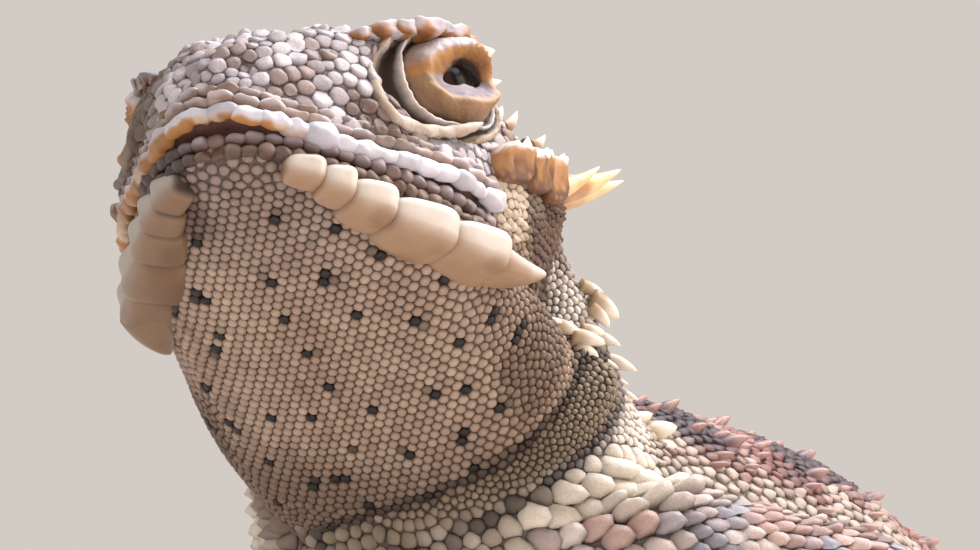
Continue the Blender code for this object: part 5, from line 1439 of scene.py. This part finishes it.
def make_row(name, path, step, out_size, up_size, colours, square, dome, flare, seed, lift=0.0,
             keel=0.0, longer=0.56, rows=13, columns=18):
    """Row of cushions along a path of the head frame: out points away from the middle of the head."""
    place, way, half, share = path_frames(path, step, longer)
    out = unit(np.cross(way, [0, 0, 1.0]))
    out *= np.sign((out * (place - [0, 9.0, 0])).sum(1))[:, None]
    up = unit(np.cross(out, way))
    up *= np.sign(up[:, 2])[:, None]
    out, up = unit(out + lift * up), unit(up - lift * out)
    rng = np.random.default_rng(seed)
    own = 1 + 0.12 * rng.normal(size=(len(place), 1))
    pieces, a, b, c = cushions(head_to_world(place),
                               head_vectors(way * half * (0.95 + 0.1 * rng.random((len(place), 1)))),
                               head_vectors(out * out_size * own), head_vectors(up * up_size * own),
                               square=square, dome=dome, flare=flare, rows=rows, columns=columns)
    height = np.clip(0.5 + 0.5 * c + 0.2 * b, 0, 1).ravel()
    ridge = (keel * out_size * np.exp(-(c / 0.3) ** 2) * (b > 0) * (1 - 0.6 * np.abs(a))).ravel()
    for index, (flat, _) in enumerate(pieces):
        flat += (ridge + 0.07 * noise(flat, 0.55))[:, None] * (HEAD_AXES @ out[index])
    tints = []
    for index, (flat, _) in enumerate(pieces):
        # Lighter towards the top of each cushion: a painted highlight from above over the row's own colours.
        tint = mix(np.tile(linear(colours[0]), (len(flat), 1)), linear(colours[1]), ease(0.25, 0.9, height))
        tint = mix(tint, linear(colours[2]), ease(0.45, 0.75, noise(flat, 2.4)))
        l, b = place[index, :2]
        if name in ("upper_lip_second_row", "upper_lip_third_row"):
            tint = tint * (1 - 0.35 * ease(1.5, 2.8, b) * (1 - ease(5.5, 7.0, b)))
        # On the near side the upper lip is painted a pale bluish white: a painted highlight.
        if name == "upper_lip":
            start = 0.30 - 0.22 * ease(-4.0, -0.5, l)
            tint = mix(tint, linear("#d3d4e0"),
                       0.9 * ease(-7.0, -1.5, l) * np.maximum(ease(start, start + 0.3, height), ease(3.0, 5.0, l)))
        # Painted shade on the far (right) side, strongest on the lower lip.
        shade = 1 - (0.65 if name.startswith("lower") else 0.25) * ease(0.5, 3.5, -l) * (1 - ease(6, 9, b))
        tints.append(np.clip(tint * shade * (1 + 0.10 * rng.normal()), 0.003, 0.95))
    points, faces, tints = stack(pieces, tints)
    piece = make_piece(name, points, faces, horny, tints)
    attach(piece, "root")
    print(name, len(place))
    return piece


make_row("upper_lip", lip_path(12.6, 0.10, -0.05), 1.35, 0.50, 0.42, ("#a8753f", "#dcd2cc", "#c4ab90"), 0.85, 0.9,
         0.20, 3,
         lift=0.25, longer=0.78, rows=17, columns=26)
make_row("upper_lip_second_row", lip_path(12.2, 0.85, -0.12), 1.30, 0.40, 0.34, ("#8a7062", "#e0dbe0", "#a28e84"),
         0.75, 0.85,
         0.15, 4, lift=0.35, keel=0.5)
make_row("upper_lip_third_row", lip_path(11.5, 1.50, -0.28), 1.05, 0.34, 0.34, ("#7d6a60", "#d6d0d5", "#8f7a6e"),
         0.8, 0.9,
         0.0, 7, lift=0.3, keel=0.5)
# Both rows of the lower lip are painted in dark browns, painted shade under the overhanging upper lip.
make_row("lower_lip", jaw_path(13.0, 0.25, -0.15), 0.95, 0.46, 0.42, ("#5a4640", "#b1a6ac", "#77605a"), 0.85, 0.95,
         0.0, 5)
make_row("lower_lip_second_row", jaw_path(12.5, 0.95, -0.15), 0.85, 0.32, 0.34, ("#54413a", "#8d7b70", "#5e463c"),
         0.85,
         0.95, 0.0, 6)

# %% [markdown]
# ## Brow and temple
# Over the eye a shelf of thick scales juts out and ends in a short spine. Behind the eye broad shields with flared
# upper edges lead to the horns.

# %% Brow and temple shields
BROW = ((6.3, 4.6, 10.0, 0.62), (7.1, 5.4, 10.55, 0.78), (7.9, 6.3, 11.05, 0.74), (8.6, 7.3, 11.55, 0.86),
        (9.15, 8.4, 11.95, 0.72), (9.5, 9.4, 12.2, 0.84), (9.7, 10.5, 12.35, 0.74))
TEMPLE = ((13.7, 10.85, 6.0, 1.45, 1.00), (15.9, 11.7, 6.6, 1.05, 1.10), (17.7, 12.15, 7.0, 0.95, 1.20))
POINTS = (((10.2, 11.6, 12.6), (11.0, 12.8, 13.1), 0.8), ((9.6, 13.6, 11.9), (10.6, 14.9, 12.4), 0.6),
          ((10.4, 15.6, 10.0), (10.9, 16.4, 11.2), 0.5), ((9.4, 16.2, 10.9), (9.8, 17.2, 12.2), 0.6),
          ((11.3, 17.5, 9.6), (11.8, 18.6, 10.7), 0.5), ((5.2, 20.3, 10.4), (5.9, 22.2, 11.8), 0.8),
          ((9.0, 19.4, 10.1), (9.9, 21.2, 11.5), 0.75), ((0.9, 19.6, 10.3), (1.0, 22.4, 12.6), 0.9))


def make_brow_and_temple(side):
    flip = np.array([side, 1, 1])
    brow = np.array([(l, b, u - (0 if side > 0 else 0.7)) for l, b, u, _ in BROW]) * [1 if side > 0 else 0.90, 1, 1]
    size_brow = np.array([r for *_, r in BROW])[:, None]
    pieces, a, b, c = cushions(brow * flip, size_brow * np.array([0.62, 1.25, 0.50]) * flip,
                               size_brow * np.array([0.95, -0.35, 0.05]) * flip,
                               size_brow * np.array([-0.10, -0.22, 0.46]) * flip, square=0.5, dome=0.6, flare=0.35)
    tints = []
    for flat, _ in pieces:
        flat[:, 2] += 0.07 * noise(flat, 0.75)
        flat[:, 0] += 0.06 * noise(flat + 5, 0.65)
        share = (flat[:, 2] - flat[:, 2].min()) / np.ptp(flat[:, 2]) + 0.10 * noise(flat, 0.6)
        tint = mix(np.tile(linear("#7a4c28"), (len(flat), 1)), linear("#a8743f"), ease(0.05, 0.4, share))
        # The pale grey-lilac top of the brow scales is a painted highlight from above.
        tints.append(mix(tint, linear("#bcb4bd"), ease(0.26, 0.46, share) * (1 - 0.85 * ease(9.0, 9.8, flat[:, 1]))))
    temple = np.array([(l, b_, u) for b_, l, u, _, _ in TEMPLE])
    half = np.array([r for *_, r, _ in TEMPLE])[:, None]
    tall = np.array([r for *_, r in TEMPLE])[:, None]
    more, a, b, c = cushions(temple * flip, half * np.array([0.35, 1.0, 0.42]) * flip,
                             half * np.array([0.75, -0.25, 0.0]) * flip,
                             tall * np.array([0.10, -0.35, 1.0]) * flip, square=0.55, dome=0.62, flare=0.55)
    share = np.clip(0.5 + 0.5 * c, 0, 1).ravel()
    for flat, _ in more:
        fibre = noise(flat * [2.5, 2.5, 0.3], 0.8)
        flat[:, 0] += side * 0.10 * fibre * ease(0.1, 0.5, share)
        flat[:, 2] += 0.20 * noise(flat * [3, 3, 0], 0.8) * ease(0.7, 0.95, share)
        tint = mix(np.tile(linear("#6b4a34"), (len(flat), 1)), linear("#b08050"),
                   ease(0.1, 0.7, share + 0.3 * noise(flat * [3, 3, 0.4], 0.8)))
        # The white along the top edge of the temple shields is a painted highlight.
        tints.append(mix(tint, linear("#f0e8e0"), ease(0.80, 0.92, share + 0.06 * fibre)))
    pieces += more
    # Painted shade: the brow and temple of the far (right) side are darkened to 0.42.
    tints = [tint * (1.0 if side > 0 else 0.42) for tint in tints]
    for root, tip, radius in POINTS:
        flat, group = cone(np.array(root) * flip, np.array(tip) * flip, radius)
        pieces.append((flat, group))
        # Painted shade: the spines of the far (right) side are darkened to 0.5.
        tints.append(mix(np.tile(linear("#8d6748"), (len(flat), 1)), linear("#ecdfc9"), ease(0.1, 0.8, cone_share))
                     * (1.0 if side > 0 else 0.5))
    return [(head_to_world(flat), group) for flat, group in pieces], tints


for side, word in ((1, "left"), (-1, "right")):
    points, faces, tints = stack(*make_brow_and_temple(side))
    piece = make_piece(f"brow_and_temple_{word}", points, faces, horny, tints)
    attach(piece, "root")

# %% [markdown]
# ## Horns
# The horns are bone with a thin sheath of horn: orange brown at the root, cream at the tip, with fine grooves
# along them. Each smooth horn replaces the faceted one of the solids.

# %% Horns
HORNS = {"horn_occipital": ((4.2, 20.4, 9.6), (6.2, 28.4, 13.4), 2.1),
         "horn_temporal_rear": ((7.9, 20.7, 8.6), (12.6, 28.0, 12.4), 1.75),
         "horn_temporal_middle": ((10.5, 19.2, 8.1), (13.5, 24.6, 11.2), 1.5),
         "horn_temporal_front": ((10.6, 18.2, 7.4), (13.4, 20.9, 9.4), 1.25)}
for side, word in ((1, "left"), (-1, "right")):
    for name, (root, tip, radius) in HORNS.items():
        root, tip = np.array(root) * [side, 1, 1], np.array(tip) * [side, 1, 1]
        axis = unit(tip - root)
        start = root - axis * 2.2
        span = np.linalg.norm(tip - start)
        across = unit(np.cross(axis, [0, 0, 1.0]))
        rise = np.cross(across, axis)
        t = np.linspace(0, 1, 30)[:, None]
        angle = np.linspace(0, 2 * math.pi, 40, endpoint=False)[None]
        width = radius * (((1 - t) ** 0.8 * (1 - 0.05 * t)) + 0.02) * (1 + 0.025 * np.cos(9 * angle) * (1 - t))
        rings = (start + axis * (span * t)[..., None] - rise * (0.7 * np.sin(math.pi * t))[..., None]
                 + across * (width * np.cos(angle))[..., None] + rise * (0.86 * width * np.sin(angle))[..., None])
        points, faces = closed_tube(rings @ HEAD_AXES.T + CHIN)
        share = np.concatenate([np.broadcast_to(t, (30, 40)).ravel(), [0, 1]])
        tint = mix(np.tile(linear("#a56a3a"), (len(points), 1)), linear("#e8c692"),
                   ease(0.25, 0.75, share + 0.1 * noise(points, 1.2)))
        tint = mix(tint, linear("#f3e3c8"), ease(0.8, 1.0, share))
        piece = make_piece(f"{name}_sheath_{word}", points, faces, horny, tint)
        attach(piece, "root")
        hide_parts(f"{name}_{word}")
print("horns:", 2 * len(HORNS))

# %% [markdown]
# ## Spines
# The fringe along the flanks, the rows on the back and the spines of neck and tail are enlarged pointed scales.
# Each is a cone that leaves the skin at a slant, towards the tail, with a wide foot that blends into the scales.

# %% Spines on the trunk


def near_leg(points):
    """True where a point of the trunk lies within a leg's root."""
    close = np.zeros(len(points), bool)
    for kind in ("upper_arm", "thigh"):
        table = LIMBS[kind]
        for side in (1, -1):
            for row in table[:2]:
                close |= np.linalg.norm(points - row[:3] * [side, 1, 1], axis=1) < 1.15 * row[3]
    return close


def trunk_spines(entries):
    """Cones at (station, degrees, length, radius, lean, lift, root colour, tip colour)."""
    s = np.array([row[0] for row in entries])
    degrees = np.array([row[1] for row in entries], float)
    pieces, tints = [], []
    step = 0.02
    here = np.array([trunk_surface([a], np.radians([d]), -COAT)[0, 0] for a, d in zip(s, degrees)])
    ahead = np.array([trunk_surface([a + step], np.radians([d]), -COAT)[0, 0] for a, d in zip(s, degrees)])
    around = np.array([trunk_surface([a], np.radians([d + 1.0]), -COAT)[0, 0] for a, d in zip(s, degrees)])
    along = unit(ahead - here)
    normal = unit(np.cross(around - here, along))
    centre = trunk_axes(s)[0]
    normal *= np.sign((normal * (here - centre)).sum(1))[:, None]
    skip = near_leg(here)
    for k, (_, _, length, radius, back, lift, foot, tip_colour) in enumerate(entries):
        if skip[k]:
            continue
        way = unit(normal[k] * lift + along[k] * back)
        flat, group = cone(here[k] - normal[k] * 0.15, here[k] + way * length, radius, sink=0.35, bend=-0.16)
        pieces.append((flat, group))
        tints.append(mix(np.tile(linear(foot), (len(flat), 1)), linear(tip_colour), ease(0.15, 0.8, cone_share)))
    return pieces, tints


def both_sides(rows):
    return [(s, a, *rest) for s, angle, *rest in rows for a in (angle, 180 - angle)]


def place_spines(name, entries):
    points, faces, tints = stack(*trunk_spines(entries))
    piece = make_piece(name, points, faces, horny, tints)
    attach(piece, "root")
    print(name, len(entries))


rng = np.random.default_rng(11)
neck = [(s, angle, length, radius, 0.8, 0.9, "#a3927c", "#ebe2d2") for s, angle, length, radius in (
    (0.80, 12, 1.3, .60), (1.05, 20, 1.6, .65), (1.22, 46, 1.6, .65), (1.42, 56, 1.5, .6),
    (0.70, 2, 0.8, .40), (0.92, 4, 0.9, .40), (0.88, 26, 1.0, .42), (1.12, 30, 1.1, .45),
    (1.30, 18, 0.9, .40), (1.34, 36, 1.0, .42), (1.10, 54, 1.1, .45), (1.32, 66, 1.1, .45), (0.95, 40, 1.0, .42))]
place_spines("neck_spines", both_sides(neck))
RIDGES = (   # root, tip and radius of the pale spines behind the corner of the jaw and on the shoulder
    ((11.0, -34.6, 33.5), (12.0, -33.2, 32.5), 0.70), ((11.0, -34.9, 32.9), (11.7, -34.0, 31.9), 0.55),
    ((10.6, -35.0, 34.3), (11.4, -34.0, 33.9), 0.50), ((11.0, -36.7, 31.2), (12.3, -35.1, 30.9), 0.60),
    ((10.9, -36.5, 30.6), (12.0, -35.6, 30.1), 0.55), ((10.5, -37.7, 31.7), (11.4, -36.6, 31.4), 0.55),
    ((10.2, -38.5, 31.9), (10.9, -37.6, 31.9), 0.45), ((11.2, -36.0, 31.7), (12.0, -34.9, 31.6), 0.45),
    ((11.9, -30.0, 26.3), (13.3, -28.5, 27.0), 0.85), ((12.3, -30.0, 25.4), (13.3, -28.8, 25.8), 0.7),
    ((11.4, -31.0, 27.0), (12.3, -30.0, 27.7), 0.6))
for side, word in ((1, "left"), (-1, "right")):
    pieces = [cone(np.array(root) * [side, 1, 1], (0.25 * np.array(root) + 0.75 * np.array(tip)) * [side, 1, 1],
                   radius, bend=-0.12, fat=0.5) for root, tip, radius in RIDGES]
    tints = [mix(np.tile(linear("#9c8567"), (len(flat), 1)), linear("#e9dfce"), ease(0.15, 0.75, cone_share))
             for flat, _ in pieces]
    piece = make_piece(f"shoulder_spines_{word}", *stack(pieces, tints)[:2], horny, np.vstack(tints))
    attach(piece, "root")
fringe = []
for k, s in enumerate(np.linspace(2.72, 7.72, 40)):
    fringe.append((s, -9 + 1.5 * math.sin(5 * k), (2.6 - 0.08 * abs(s - 4.5)) * (0.85 + 0.25 * rng.random()), 0.62,
                   0.75, 1.0,
                   "#c5a98d", "#f5eee2"))
place_spines("fringe_spines", both_sides(fringe))
back = []
for row, angles in enumerate((75, 58, 38)):
    for s in np.linspace(2.5 + 0.2 * row, 7.5, 9):
        grown = 1.0 + 0.25 * rng.random()
        back.append((s, angles + 5 * (rng.random() - 0.5), 1.25 * grown, 0.68 * grown, 0.8, 0.8, "#553538",
                     "#a3827a"))
for _ in range(120):
    back.append((2.4 + 5.2 * rng.random(), 8 + 78 * rng.random(), 0.7 + 0.4 * rng.random(),
                 0.42 + 0.15 * rng.random(), 0.9, 0.8,
                 "#6d4640", "#a8857a"))
place_spines("back_spines", both_sides(back))
tail = []
for s in np.linspace(8.0, 12.2, 16):
    share = (12.6 - s) / 4.6
    tail.append((s, 2, 0.9 + 1.3 * share, 0.35 + 0.4 * share, 1.0, 0.9, "#b89478", "#f0e4d2"))
    tail.append((s + 0.08, 60, 0.8 + 1.0 * share, 0.3 + 0.45 * share, 1.0, 0.7, "#9f705a", "#e2cdb4"))
place_spines("tail_spines", both_sides(tail))

# %% [markdown]
# ## Claws
# Each finger and toe ends in a claw: a curved cone of dark translucent horn.

# %% Claws
claw_horn = tinted_hide("claw horn", 0.9, 1.05, 0.30, 0.8, 0.08, 0.10, 0.06)
for side, word in ((1, "left"), (-1, "right")):
    for kind, digits in DIGITS.items():
        pieces, tints = [], []
        for turn, length, radius in digits:
            table, way = digit_table(kind, turn, length, radius)
            tip = table[-1, :3]
            root, end = np.array([tip[0], tip[1], 0.78]), tip + way * CLAW_LENGTH
            end = np.array([end[0], end[1], 0.22])
            flat, group = cone(root * [side, 1, 1], end * [side, 1, 1], 0.44, sink=0.5, bend=-0.34)
            pieces.append((flat, group))
            tints.append(mix(np.tile(linear("#6b5244"), (len(flat), 1)), linear("#2f2420"),
                             ease(0.2, 1.0, cone_share)))
        points, faces, tints = stack(pieces, tints)
        piece = make_piece(f"{kind}_claws_{word}", points, faces, claw_horn, tints)
        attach(piece, "root")
print("claws: 20")
